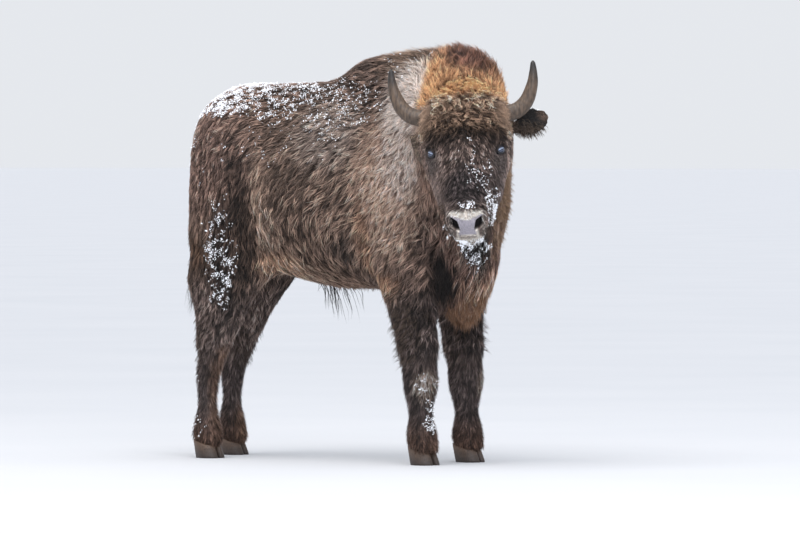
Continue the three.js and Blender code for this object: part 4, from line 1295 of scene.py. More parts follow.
@dataclass
class Locks:
    """A batch of tufts as paths, ready to be built as one mesh."""

    centres: Array  # (tuft, ring, axis), the last one its tip
    ups: Array
    widths: Array  # (tuft, ring)
    colours: Array  # (tuft, ring, colour)
    roots: Array  # each tuft's place on the unwrap
    flatness: float = 0.45

    def mesh(self, name: str) -> Mesh:
        """Builds every tuft as a closed three-sided blade.

        Args:
            name: The mesh's name.

        Returns:
            The mesh, painted and with its OFBake map.
        """
        count, rings = self.centres.shape[0], self.centres.shape[1] - 1
        along = unit(np.gradient(self.centres, axis=1))
        side = unit(np.cross(along, self.ups))
        up = np.cross(side, along)
        wide = self.widths[:, :, None] * side[:, :rings]
        tall = self.widths[:, :, None] * up[:, :rings] * self.flatness
        core = self.centres[:, :rings]
        ring = np.stack([core - wide / 2, core + wide / 2, core + tall], 2)
        share, colour = np.linspace(0, 1, rings + 1), np.repeat(self.colours[:, :rings], 3, 1)
        turn = np.array([[0, 1], [1, 2], [2, 0]])
        own = [[x, share[j]] for j in range(rings) for x in (0, 1, 0.5)] + [[0.5, 1]]
        if rings == 1:  # a spike stands on a three-sided foot
            start, cap = 0, np.array([[0, 1, 2]])
            ring = ring.reshape(count, 3, 3)
        else:  # anything longer is rooted in a point
            start, cap = 1, np.array([[0, 1 + a, 1 + b] for a, b in turn])
            ring = np.concatenate([core[:, :1], ring[:, 1:].reshape(count, rings * 3 - 3, 3)], 1)
            colour, own = colour[:, 2:], own[2:]
        places = np.concatenate([ring, self.centres[:, -1:]], 1).reshape(-1, 3)
        paces, corners = (rings - 1 if start else 1), ring.shape[1] + 1
        first = (np.arange(count) * corners)[:, None, None]
        faces = [(first + cap).reshape(-1, 3)]
        if paces > 1:
            steps = range(0, 3 * paces - 3, 3)
            walls = [[j + b, j + a, j + 3 + a, j + 3 + b] for j in steps for a, b in turn]
            faces.append((first + start + np.array(walls)).reshape(-1, 4))
        last = start + paces * 3 - 3
        point = [[last + b, last + a, corners - 1] for a, b in turn]
        faces.append((first + np.array(point)).reshape(-1, 3))
        mesh = mesh_from(name, places, faces)
        paint(mesh, np.concatenate([colour, self.colours[:, -1:]], 1).reshape(-1, 3))
        own = np.array(own) - 0.5
        flat = np.clip(self.roots[:, None] + own * TUFT_PATCH, 0.0005, 0.9995).reshape(-1, 2)
        layer = mesh.uv_layers.new(name="OFBake")
        corners = np.concatenate([rows.ravel() for rows in faces])
        layer.data.foreach_set("uv", flat[corners].astype(np.float32).ravel())
        return mesh


@dataclass(frozen=True)
class Patch:
    """A stretch of the coat that is built as one piece. The first patch that holds a place takes it."""

    name: str
    parts: tuple[str, ...]
    cut: Cut
    space: Space = Space.BODY
    low: Triple = (-ALL, -ALL, -ALL)
    high: Triple = (ALL, ALL, ALL)
    cover: float = 2.5  # how many tufts lie over any place
    clump: int = 7  # tufts in a lock
    gather: float = 0.72  # how far a lock closes towards its tip
    waves: float = 0.8
    stream: float = 0.8  # how far a lock is drawn out along the lie
    slot: str = "body_coat"


PATCHES = (
    Patch("coat_ear_left", EAR, Cut.LOCK, H, (-ALL, 0, -ALL), cover=2.6, clump=3, slot="dark_coat"),
    Patch("coat_ear_right", EAR, Cut.LOCK, H, cover=2.6, clump=3, slot="dark_coat"),
    Patch("coat_forelock", HEAD, Cut.CURL, H, (-ALL, -ALL, -130), (84, ALL, ALL), cover=2.0, clump=4,
          gather=0.75, waves=1.3, stream=0.2, slot="mane"),
    Patch("coat_face", HEAD, Cut.LOCK, H, (-ALL, -ALL, -125), cover=2.2, clump=5, gather=0.6,
          slot="dark_coat"),
    Patch("coat_jaw", HEAD, Cut.LOCK, H, cover=2.6, clump=5, slot="dark_coat"),
    Patch("coat_tail", TAIL, Cut.LOCK, cover=2.4, clump=4, slot="dark_coat"),
    Patch("coat_cannons_left", LEGS, Cut.SPIKE, B, (-ALL, 0, 0), (ALL, ALL, 400), cover=1.8, gather=0.5,
          slot="dark_coat"),
    Patch("coat_cannons_right", LEGS, Cut.SPIKE, B, high=(ALL, 0, 400), cover=1.8, gather=0.5,
          slot="dark_coat"),
    Patch("coat_forearm_left", FRONT_LEG, Cut.LOCK, B, (-ALL, 0, 0), clump=5, gather=0.6, slot="dark_coat"),
    Patch("coat_forearm_right", FRONT_LEG, Cut.LOCK, clump=5, gather=0.6, slot="dark_coat"),
    Patch("coat_thigh_left", HIND_LEG, Cut.LOCK, B, (-ALL, 0, 0), cover=2.1, clump=5, gather=0.6),
    Patch("coat_thigh_right", HIND_LEG, Cut.LOCK, clump=5, gather=0.6),
    Patch("coat_crest", FOREHAND, Cut.STRAND, B, (60, -ALL, 1180), cover=2.9, clump=6, gather=0.65, waves=0.9,
          stream=0.4, slot="mane"),
    Patch("coat_neck", NECK, Cut.LOCK, cover=2.6, clump=6, gather=0.6, slot="mane"),
    Patch("coat_brisket", TRUNK, Cut.LOCK, B, (60, -ALL, -ALL), (ALL, ALL, 700), cover=2.8, clump=6,
          slot="mane"),
    Patch("coat_shoulder_left", TRUNK, Cut.LOCK, B, (-130, 0, -ALL), cover=2.1, clump=6, gather=0.6),
    Patch("coat_shoulder_right", TRUNK, Cut.LOCK, B, (-130, -ALL, -ALL), cover=2.8, clump=6, gather=0.6),
    Patch("coat_ribs_left", TRUNK, Cut.LOCK, B, (-640, 0, -ALL), cover=2.0, clump=5, gather=0.6),
    Patch("coat_ribs_right", TRUNK, Cut.LOCK, B, (-640, -ALL, -ALL), clump=5, gather=0.6),
    Patch("coat_rump_left", TRUNK, Cut.LOCK, B, (-ALL, 0, -ALL), cover=2.0, clump=5, gather=0.6),
    Patch("coat_rump_right", TRUNK, Cut.LOCK, clump=5, gather=0.6),
)
STOPS = {
    Cut.SPIKE: (0, 1),
    Cut.LOCK: (0, 0.42, 1),
    Cut.STRAND: (0, 0.3, 0.65, 1),
    Cut.CURL: (0, 0.22, 0.48, 0.74, 1),
}
GIRTHS = {
    Cut.SPIKE: (1.0,), Cut.LOCK: (0.8, 1.0), Cut.STRAND: (0.8, 1.0, 0.7), Cut.CURL: (0.8, 1.0, 0.95, 0.6)
}


@dataclass
class Pelt:
    """The winter coat: tufts that root in the hide, follow its lie and close into pointed locks."""

    skin: Skin
    turns: Pair = (0.2, 0.09)  # how far locks, and tufts in them, turn off the lie
    beats: float = 0.35  # how far the waves of a lock's tufts fall out of step
    lengths: tuple[Pair, ...] = ((0.78, 1.22), (0.8, 1.1))  # of locks, and of tufts in them
    rises: tuple[Pair, ...] = ((0.7, 1.08), (0.6, 1.0))
    tones: Pair = (0.56, 0.32)
    tone_ends: Pair = (-1.5, 0.78)
    girths: Pair = (0.7, 1.25)
    bleach: float = 1.68  # how much brighter than its zone's colour a tip is
    shadow: float = 0.9
    sunk: float = 0.0015  # metres that a root stands in the hide

    def holders(self) -> Array:
        """Finds the patch that holds each triangle of the hide.

        Returns:
            Its number, or -1.
        """
        skin = self.skin
        middle = skin.points[skin.triangles].mean(1)
        part = skin.share[skin.triangles].mean(1).argmax(1)
        held = np.full(len(middle), -1)
        places = {space: STANCE.measured(middle, space) for space in Space}
        for number, patch in enumerate(PATCHES):
            here = places[patch.space]
            inside = ((here >= patch.low) & (here < patch.high)).all(1)
            inside &= np.isin(part, [PARTS.index(p) for p in patch.parts])
            held[inside & (held < 0)] = number
        return held

    def scatter(self, chosen: Array, need: Array, rng: np.random.Generator) -> tuple[Array, Array]:
        """Sets roots evenly over some triangles.

        Args:
            chosen: The triangles' numbers.
            need: How many roots each should carry, fractions allowed.
            rng: The seeded generator.

        Returns:
            Each root's triangle and its place in it as three shares.
        """
        total = max(int(need.sum()), 1)
        ends = np.cumsum(need)
        picked = np.searchsorted(ends, (np.arange(total) + rng.random(total)) * (ends[-1] / total))
        u, v = np.sqrt(rng.random(total)), rng.random(total)
        return chosen[np.minimum(picked, len(chosen) - 1)], np.stack([1 - u, u * (1 - v), u * v], 1)

    def blended(self, rows: Array, triangles: Array, shares: Array) -> Array:
        """Vertex values taken at the roots."""
        corners = rows[self.skin.triangles[triangles]]
        return (corners * (shares[:, :, None] if corners.ndim == 3 else shares)).sum(1)

    def rooted(self, triangles: Array, shares: Array) -> tuple[Array, ...]:
        """Finds how hair stands at some roots.

        Args:
            triangles: Each root's triangle.
            shares: Its place there.

        Returns:
            The roots, the hide's normals, the lie of the hair and the places on the unwrap.
        """
        skin = self.skin
        roots = self.blended(skin.points, triangles, shares)
        normals = unit(self.blended(skin.normals, triangles, shares))
        flow = across(self.blended(skin.flow, triangles, shares), normals)
        return roots, normals, flow, (skin.unwrapped[triangles] * shares[:, :, None]).sum(1)

    def grow(self, number: int, chosen: Array) -> Locks:
        """Grows one patch of the coat.

        Args:
            number: The patch's place in the list.
            chosen: The hide's triangles that it holds.

        Returns:
            The patch's tufts.
        """
        skin, patch = self.skin, PATCHES[number]
        rng = np.random.default_rng(SEED + number)
        corners = skin.triangles[chosen]
        size = (skin.fields["length"] * skin.fields["width"])[corners].mean(1) * MM**2 * 0.5
        need = skin.area[chosen] * patch.cover / size * (1 - skin.fields["bare"][corners].mean(1))
        triangles, shares = self.scatter(chosen, need, rng)
        take = {name: self.blended(rows, triangles, shares) for name, rows in skin.fields.items()}
        roots, normals, flow, places = self.rooted(triangles, shares)
        total = len(roots)
        heads = rng.permutation(total)[: max(total // patch.clump, 1)]
        finder = finder_of(roots[heads])
        # A lock gathers tufts that lie before and behind each other rather than side by side.
        close = np.array([[found[1] for found in finder.find_n(root, 5)] for root in roots])
        offset = roots[heads[close]] - roots[:, None]
        cost = (offset**2).sum(2) - patch.stream * (offset * flow[:, None]).sum(2) ** 2
        lock = close[np.arange(total), cost.argmin(1)]
        astray = roots - roots[heads[lock]]
        lots = len(heads)
        turn = rng.normal(0, self.turns[0], lots)[lock] + rng.normal(0, self.turns[1], total)
        phase = rng.uniform(0, 2 * math.pi, lots)[lock] + rng.normal(0, self.beats, total)
        stretch, rise = (
            rng.uniform(*of_locks, lots)[lock] * rng.uniform(*of_tufts, total)
            for of_locks, of_tufts in (self.lengths, self.rises)
        )
        # Locks that stand higher are painted lighter and the wool below them darker, as painted light and
        # shade in the coat; each lock and tuft also varies in tone at random.
        drift = rng.normal(0, self.tones[0], lots)[lock] + rng.normal(0, self.tones[1], total)
        drift = np.clip(drift, *self.tone_ends) + np.log(0.4 + 1.35 * (rise - 0.42))
        shade = np.exp(take["contrast"] * drift) * np.exp(0.25 * (take["contrast"] - 1))
        length = take["length"] * stretch * MM
        stops = np.array(STOPS[patch.cut])
        centres, ups = [roots - normals * self.sunk], [normals]
        spot, here_normal, here_flow = roots.copy(), normals, flow
        for before, stop in zip(stops[:-1], stops[1:]):
            sideways = np.cross(here_normal, here_flow)
            way = here_flow * np.cos(turn)[:, None] + sideways * np.sin(turn)[:, None]
            spot = spot + way * (length * (stop - before))[:, None]
            if patch.cut is not Cut.SPIKE:
                near = np.array([skin.finder.find(point)[1] for point in spot])
                here_normal, here_flow = skin.normals[near], skin.flow[near]
                spot = spot - ((spot - skin.points[near]) * here_normal).sum(1, keepdims=True) * here_normal
            pull = astray - (astray * here_normal).sum(1, keepdims=True) * here_normal
            pull = pull - patch.stream * (pull * here_flow).sum(1, keepdims=True) * here_flow
            angle = 2 * math.pi * patch.waves * stop + phase
            sway = take["curl"] * min(1, 3 * stop) * MM
            height = take["depth"] * rise * math.sin(min(1, 1.2 * stop) * math.pi / 2)
            height = height + take["lift"] * rise * stop**2
            loop = 0.6 * np.cos(angle) * sway if patch.cut is Cut.CURL else 0
            place = spot - pull * patch.gather * stop**1.3 + sideways * (np.sin(angle) * sway)[:, None]
            centres.append(place + here_normal * (height * MM + loop)[:, None])
            ups.append(here_normal)
        share = stops[None, :, None] ** 1.2
        tip = take["tip"] * (shade * self.bleach)[:, None]
        root = take["root"] * (shade * self.shadow)[:, None]
        colours = root[:, None] * (1 - share) + tip[:, None] * share
        girth = (take["width"] * rng.uniform(*self.girths, total))[:, None]
        widths = np.array(GIRTHS[patch.cut])[None] * girth * MM
        return Locks(np.stack(centres, 1), np.stack(ups, 1), widths, np.clip(colours, 0, 1), places)

    def build(self) -> dict[str, Locks]:
        """Grows every patch as a piece of its own.

        Returns:
            The tufts of each patch, by name.
        """
        held, grown = self.holders(), {}
        total = 0
        for number, patch in enumerate(PATCHES):
            chosen = np.flatnonzero(held == number)
            if not len(chosen):
                continue
            locks = self.grow(number, chosen)
            mount(patch.name, locks.mesh(patch.name), HAIR)
            faces = len(locks.roots) * max(6 * patch.cut.value - 6, 4)
            total += faces
            log.info("%s: %d tufts, %d triangles", patch.name, len(locks.roots), faces)
            grown[patch.name] = locks
        log.info("coat: %d triangles", total)
        return grown


@dataclass(frozen=True)
class Hank:
    """Long hair that hangs free of the body from one small stretch of hide. Lengths are in millimetres."""

    name: str
    parts: tuple[str, ...]
    space: Space
    centre: Triple
    reach: Triple
    count: int
    length: Pair
    width: float
    root: str
    tip: str
    stand: float = 0.5  # how far it starts out from the hide before it falls
    fall: float = 0.8  # how soon it hangs straight
    wave: float = 4.0
    clump: int = 5
    gather: float = 0.7
    both: bool = False
    drift: Triple = (0.0, 0.0, -1.0)  # the way it falls, in the frame
    aside: float = 0.0  # how far it starts out sideways, away from the middle
    replaces: tuple[str, ...] = ()
    slot: str = "dark_coat"


HANKS = (
    Hank("beard", HEAD, H, (388, 12, -158), (56, 48, 48), 760, (44, 175), 1.7, "#100c0a", "#2c2420", 0.45,
         0.85, 10, 9, 0.9, replaces=("beard",)),
    Hank("brisket_fringe", FOREHAND, B, (200, -10, 530), (170, 130, 100), 1600, (40, 78), 2.4, "#33251d",
         "#a07a5f", 0.35, 0.8, 6, 6, 0.65, slot="mane"),
    Hank("navel_tuft", TRUNK, B, (-490, -2, 620), (110, 50, 60), 44, (50, 175), 2.6, "#0a0807", "#120f0e",
         0.2, 0.9, 8, 2, 0.5, replaces=("belly_tuft",)),
    Hank("tail_tassel", TAIL, B, (-1036, -46, 660), (40, 40, 60), 330, (90, 235), 2.0, "#1e1815", "#3d3029",
         0.3, 0.8, 12, 6, 0.6, drift=(-0.04, 0.16, -1.0), replaces=("tail_tassel",)),
    Hank("belly_fringe", TRUNK, B, (-330, 0, 600), (330, 190, 50), 1100, (18, 40), 2.6, "#42332b", "#98806f",
         0.25, 0.75, 4, 6, 0.7, slot="body_coat"),
    Hank("forearm_fringe", FRONT_LEG, B, (-30, 165, 480), (80, 120, 150), 2000, (22, 58), 1.8, "#1d1714",
         "#6b5b50", 0.9, 0.45, 4, 5, 0.7, both=True),
    Hank("thigh_fringe", HAUNCH, B, (-1010, 150, 640), (70, 120, 230), 1400, (14, 30), 2.0, "#2c221d",
         "#7d6658", 0.8, 0.6, 3, 5, 0.6, both=True),
    Hank("hock_fringe", HIND_LEG, B, (-960, 150, 400), (60, 120, 110), 700, (16, 38), 2.2, "#1c1613",
         "#5c4d43", 0.8, 0.6, 2, 5, 0.6, both=True),
    Hank("fetlock_fringe", LEGS, B, (0, 150, 84), (ALL, 400, 34), 2200, (22, 42), 2.4, "#1d1512", "#6a5244",
         0.25, 0.9, 2, 5, 0.6, both=True),
    Hank("ear_fringe", EAR, H, (56, 196, -104), (46, 80, 60), 460, (14, 36), 1.8, "#1c1613", "#77675a", 0.55,
         0.6, 3, 4, 0.5),
    Hank("temple_locks", HEAD, H, (14, 92, 16), (62, 38, 52), 2400, (44, 80), 1.9, "#4a392e", "#bfa28b", 0.45,
         0.3, 9, 5, 0.7, both=True, aside=1.8, slot="mane"),
    Hank("jaw_fringe", HEAD, H, (372, 66, -112), (84, 44, 60), 2000, (14, 32), 1.6, "#1c1614", "#6a5a50", 0.9,
         0.4, 3, 4, 0.6, both=True, aside=0.5),
    Hank("throat_fringe", FOREHAND, B, (240, 30, 850), (80, 90, 230), 1800, (22, 46), 1.9, "#4a382d",
         "#b39579", 0.9, 0.45, 5, 5, 0.6, slot="mane"),
    Hank("lip_hair", HEAD, H, (410, 0, -135), (60, 60, 40), 420, (10, 26), 2.0, "#4a3c33", "#b6a592", 0.5,
         0.6, 2, 4, 0.5),
)


@dataclass
class LongHair:
    """The beard, the tassel and the other hair that hangs free."""

    skin: Skin
    pelt: Pelt

    def hang(self, hank: Hank, seed: int) -> Locks:
        """Lets one hank fall from the hide.

        Args:
            hank: What hangs and where.
            seed: Picks its strands.

        Returns:
            Its strands.
        """
        skin, rng = self.skin, np.random.default_rng(SEED + seed)
        middle = skin.points[skin.triangles].mean(1)
        here = STANCE.measured(middle, hank.space)
        if hank.both:
            here[:, 1] = np.abs(here[:, 1])
        part = skin.share[skin.triangles].mean(1).argmax(1)
        away = np.linalg.norm((here - hank.centre) / hank.reach, axis=1)
        held = np.isin(part, [PARTS.index(p) for p in hank.parts]) & (away < 1)
        chosen = np.flatnonzero(held)
        weight = skin.area[chosen] * (1.05 - away[chosen])
        triangles, shares = self.pelt.scatter(chosen, weight / weight.sum() * hank.count, rng)
        roots, normals, flow, places = self.pelt.rooted(triangles, shares)
        total = len(roots)
        heads = rng.permutation(total)[: max(total // hank.clump, 1)]
        lock = np.array([np.argmin(((roots[heads] - root) ** 2).sum(1)) for root in roots])
        astray = roots - roots[heads[lock]]
        lots = len(heads)
        length = (rng.uniform(*hank.length, lots)[lock] * rng.uniform(0.75, 1.05, total))[:, None] * MM
        lean = unit(np.array(hank.drift) + rng.normal(0, 0.12, (lots, 3)))[lock]
        start = unit(normals * hank.stand + flow * (1 - hank.stand) + rng.normal(0, 0.1, (total, 3)))
        side = np.sign(STANCE.measured(roots, hank.space)[:, 1:2])
        side = side * STANCE.ways(np.array([[0.0, 1.0, 0.0]]), hank.space)
        start = unit(start + side * hank.aside)
        phase = rng.uniform(0, 2 * math.pi, lots)[lock] + rng.normal(0, 0.3, total)
        stops = STOPS[Cut.CURL]
        spot = roots - normals * 0.002
        centres, ups = [spot.copy()], [normals]
        for before, stop in zip(stops[:-1], stops[1:]):
            fallen = hank.fall * stop**0.5
            way = unit(start * (1 - fallen) + lean * fallen)
            spot = spot + way * length * (stop - before)
            sideways = unit(np.cross(way, normals + 1e-3))
            sway = np.sin(2 * math.pi * stop + phase) * hank.wave * min(1, 2 * stop) * MM
            sway = sideways * sway[:, None]
            centres.append(spot + sway - astray * hank.gather * stop**1.2)
            ups.append(normals)
        shade = np.exp(rng.normal(0, 0.15, lots))[lock] * np.exp(rng.normal(0, 0.15, total))
        share = np.array(stops)[None, :, None]
        colours = (linear(hank.root) * (1 - share) + linear(hank.tip) * share) * shade[:, None, None]
        widths = np.array(GIRTHS[Cut.CURL])[None] * (hank.width * rng.uniform(0.6, 1.2, total))[:, None] * MM
        return Locks(np.stack(centres, 1), np.stack(ups, 1), widths, np.clip(colours, 0, 1), places)

    def build(self) -> dict[str, Locks]:
        """Hangs every hank as a piece of its own.

        Returns:
            The strands of each hank, by name.
        """
        hung = {}
        for number, hank in enumerate(HANKS):
            locks = self.hang(hank, 100 + number)
            piece = mount(hank.name + "_hair", locks.mesh(hank.name), HAIR, hank.replaces)
            log.info("%s: %d strands", piece.name, len(locks.roots))
            hung[piece.name] = locks
        return hung


# ---- Horns, eyes and hooves ----


def path_at(points: Array, shares: Array) -> Array:
    """A smooth curve through points, read at shares of its length.

    Args:
        points: The points that it passes.
        shares: Where to read it, from 0 to 1.

    Returns:
        One point for each share.
    """
    padded = np.concatenate([2 * points[:1] - points[1:2], points, 2 * points[-1:] - points[-2:-1]])
    fine = []
    for n in range(len(points) - 1):
        t = np.linspace(0, 1, 24, endpoint=False)[:, None]
        a, b, c, d = padded[n : n + 4]
        square, cube = (2 * a - 5 * b + 4 * c - d) * t**2, (3 * b - a - 3 * c + d) * t**3
        fine.append(0.5 * (2 * b + (c - a) * t + square + cube))
    fine = np.concatenate([*fine, points[-1:]])
    run = np.concatenate([[0], np.cumsum(np.linalg.norm(np.diff(fine, axis=0), axis=1))])
    return np.stack([np.interp(shares * run[-1], run, fine[:, axis]) for axis in range(3)], 1)


@dataclass
class Horns:
    """Two upright horns with growth rings at the root and worn dark tips."""

    root: Triple = (26.0, 96.0, -24.0)
    steps: tuple[Pair, ...] = ((166, 6), (207, 36), (230, 88), (237, 130), (238, 172))
    thick: float = 30.5
    taper: Pair = (9.0, 15.0)  # what it loses evenly, and towards its tip
    ridges: float = 0.55
    rings: int = 74
    sides: int = 28
    pale: str = "#7a634f"
    base: str = "#4c4036"
    tip: str = "#2b2725"

    def build(self, side: Side) -> Object:
        """Builds one horn.

        Args:
            side: Which horn.

        Returns:
            The horn.
        """
        slope = math.radians(STANCE.face_slope)
        upward = np.array([-math.cos(slope), 0, math.sin(slope)])
        root = np.array([self.root[0], self.root[1] * side.value, self.root[2]])
        steps = (np.array([root[0], left * side.value, root[2]]) + upward * up for left, up in self.steps)
        path = [root, *steps]
        shares = np.linspace(0, 1, self.rings) ** 0.92
        line = path_at(STANCE.head(*path), shares)
        ways = unit(np.gradient(line, axis=0))
        facing = STANCE.axes[2]
        one = unit(np.cross(ways, facing))
        two = np.cross(ways, one)
        turn = np.linspace(0, 2 * math.pi, self.sides, endpoint=False)
        size = self.thick - self.taper[0] * shares - self.taper[1] * shares**3
        size = size * np.sqrt(np.clip((1.004 - shares) / 0.03, 0.02, 1))
        ridge = self.ridges * np.sin(shares * 96 + 1.5 * np.sin(shares * 17))
        ridge = ridge * (1 - step_up(shares, 0.25, 0.62))
        up = shares[:, None]
        wear = 0.5 * np.sin(3 * turn[None] + 6 * up) + 0.3 * np.sin(7 * turn[None] - 9 * up)
        radius = (size[:, None] + ridge[:, None] + wear * (1 - up)) * MM
        sine, cosine = np.sin(turn)[None, :, None], np.cos(turn)[None, :, None]
        rings = line[:, None] + radius[:, :, None] * (one[:, None] * cosine + two[:, None] * sine * 0.94)
        mesh = mesh_from(f"horn_{side.word}", *loft(rings))
        tone = np.concatenate([np.repeat(shares, self.sides), [0, 1]])[:, None]
        band = 0.5 + 0.5 * np.sin(tone * 60 + 2 * np.sin(tone * 13))
        paled = np.clip(1.4 * tone * (1.3 - tone), 0, 1)
        colour = linear(self.base) + (linear(self.pale) - linear(self.base)) * paled * (0.65 + 0.35 * band)
        colour += (linear(self.tip) - colour) * step_up(tone, 0.66, 0.97)
        paint(mesh, colour)
        outward(mesh)
        return mount(f"horn_sheath_{side.word}", mesh, HORN, (f"horn_{side.word}",))


@dataclass
class Eyes:
    """Two wet dark eyes with level pupils, in lids of bare dark skin with short lashes."""

    radius: float = 19.6
    iris: float = 14.5
    pupil: Pair = (7.5, 1.5)
    tilt: float = 0.36  # the pupil stays nearer the level than the slit
    slit: Pair = (23.0, 16.5)
    upper: float = 0.52  # the upper lid hangs lower over the ball
    turns: int = 56
    bulge: float = 1.5  # of the cornea
    # Bands of painted reflection of the sky across the iris.
    bands: tuple[Triple, ...] = ((0.95, -0.6, 2.3), (0.25, -7.6, 1.5))  # strength, height, reach
    pupil_height: float = -3.9
    # From the wet inner edge over the rim and out to where it sinks under the hair, then back underneath:
    # how far out each row lies, how far it rises, and how bare and pale it is.
    rows: tuple[Triple, ...] = (
        (-0.6, -3.0, 0.2), (-0.8, 0.4, 0.0), (0.3, 2.2, 0.25), (2.2, 3.3, 0.7), (4.6, 3.6, 1),
        (7.6, 2.6, 1), (11.0, 0.8, 1), (11.0, -5.0, 1), (3.0, -6.0, 1),
    )
    lid_dark: str = "#0d0a0b"
    lid_pale: str = "#3d3432"

    def ball(self, side: Side) -> Object:
        """Builds one eyeball with its bulging cornea.

        Args:
            side: Which eye.

        Returns:
            The eyeball.
        """
        hole = Hole(side)
        angles = np.linspace(0.02, math.pi - 0.02, 44)[:, None]
        turn = np.linspace(0, 2 * math.pi, 48, endpoint=False)
        ring = [np.sin(angles) * np.cos(turn), np.sin(angles) * np.sin(turn), np.cos(angles) * np.ones(48)]
        swollen = self.radius + self.bulge * np.exp(-((angles / 0.5) ** 2))
        places, faces = loft(np.stack(ring, -1) * swollen[:, None])
        across_it, up = places[:, 0], places[:, 1]
        away, front = np.hypot(across_it, up), places[:, 2] > 0
        finish = WetEye()
        colour = np.tile(linear(finish.ball), (len(places), 1))
        # The iris is left darkest under the upper lid, as painted shade, and pales with painted reflections
        # of the sky in blue bands above the pupil and at its foot.
        level = up - self.tilt * across_it
        painted_reflection, low = (much * np.exp(-(((level - height) / reach) ** 2)) for much, height, reach in self.bands)
        painted_reflection = (painted_reflection * (0.8 + 0.2 * np.cos(across_it * 0.8)) + low)[:, None]
        painted = linear(finish.iris) * (1 - painted_reflection) + linear(finish.painted_reflection) * painted_reflection
        colour = np.where((front & (away < self.iris))[:, None], painted, colour)
        colour[front & (away > self.iris - 1) & (away < self.iris + 1.4)] = linear(finish.rim)
        pupil = np.hypot(across_it / self.pupil[0], (level - self.pupil_height) / self.pupil[1]) < 1
        colour[front & pupil] = linear(finish.pupil)
        mesh = mesh_from(f"eyeball_{side.word}", places @ hole.axes * MM + hole.centre, faces)
        paint(mesh, colour)
        outward(mesh)
        return mount(mesh.name, mesh, EYE, (f"eye_{side.word}",))

    def lids(self, side: Side) -> Object:
        """Builds the ring of both lids round one eye, thick at its edge and sunk into the hide outside.

        Args:
            side: Which eye.

        Returns:
            The lids.
        """
        hole = Hole(side)
        turn = np.linspace(0, 2 * math.pi, self.turns, endpoint=False)
        wide, high = self.slit
        above = np.sin(turn) > 0
        lift, swell = np.where(above, self.upper, 1.0), np.where(above, 1.25, 0.8)
        edge = np.stack([wide * np.cos(turn), high * lift * np.sin(turn) * (1 - 0.5 * np.cos(turn) ** 2)], 1)
        way = edge / np.linalg.norm(edge, axis=1, keepdims=True)
        lines = []
        for grow, rise, _ in self.rows:
            flat = edge + way * grow
            away = np.linalg.norm(flat, axis=1)
            cap = np.sqrt(np.maximum(self.radius**2 - np.minimum(away, 19) ** 2, 9))
            lines.append(np.concatenate([flat, (cap + rise * (swell if rise > 0 else 1))[:, None]], 1))
        section = np.stack(lines, 1)
        count, sides = section.shape[:2]
        ring, part = np.meshgrid(np.arange(count), np.arange(sides), indexing="ij")
        here, onward, after = ring * sides, (ring + 1) % count * sides, (part + 1) % sides
        faces = np.stack([here + part, here + after, onward + after, onward + part], -1).reshape(-1, 4)
        own = section.reshape(-1, 3)
        mesh = mesh_from(f"lids_{side.word}", own @ hole.axes * MM + hole.centre, [faces])
        pale = np.tile([row[2] for row in self.rows], count)[:, None]
        # The upper lid is painted darker: the dark of its lashes, and painted shade under the brow.
        pale = pale * (1 - 0.5 * np.repeat(above, sides))[:, None]
        paint(mesh, linear(self.lid_dark) * (1 - pale) + linear(self.lid_pale) * pale)
        outward(mesh)
        return mount(mesh.name, mesh, HIDE)


@dataclass
class Hooves:
    """Eight claws of dark horn, rounded, ringed towards the crown, worn at the edge, flat on the ground."""

    voxel: float = 0.0036
    dark: str = "#3a2e27"
    pale: str = "#6f5644"
    names: tuple[str, ...] = tuple(
        f"hoof_{end}_{side}_{place}"
        for end in ("front", "hind")
        for side in ("left", "right")
        for place in ("inner", "outer")
    )

    def build(self, node: str) -> Object:
        """Rounds one claw from a copy of its solid.

        Args:
            node: The solid's name.

        Returns:
            The claw.
        """
        mesh = even_squares(node, (node,), self.voxel)
        points, edges, triangles = grid_of(mesh)
        low = points[:, 2].min()
        points = laplace(points, edges, 0.5, 7)
        height = points[:, 2] - low
        normals = normals_of(points, triangles)
        ring = 0.5 * np.sin(height / MM * 0.62) * step_up(height, 0.012, 0.03)
        points = points + normals * ((ring + 0.9) * MM)[:, None]
        points[:, 2] = np.where(points[:, 2] < low + 0.004, low, points[:, 2])
        reshape(mesh, points)
        tone = step_up(height, 0.0, 0.07)[:, None]
        paint(mesh, linear(self.dark) * (1 - tone) + linear(self.pale) * tone)
        return mount(node.replace("hoof", "claw"), mesh, HOOF, (node,))


# ---- Snow in the coat ----


@dataclass(frozen=True)
class Drift:
    """A stretch of the coat that snow has settled on."""

    space: Space
    centre: Triple
    reach: Triple
    amount: float  # the share of the tufts that carry snow
    clump: float = 3.0  # grains on each of them
    patchy: float = 0.9  # how far it gathers into patches


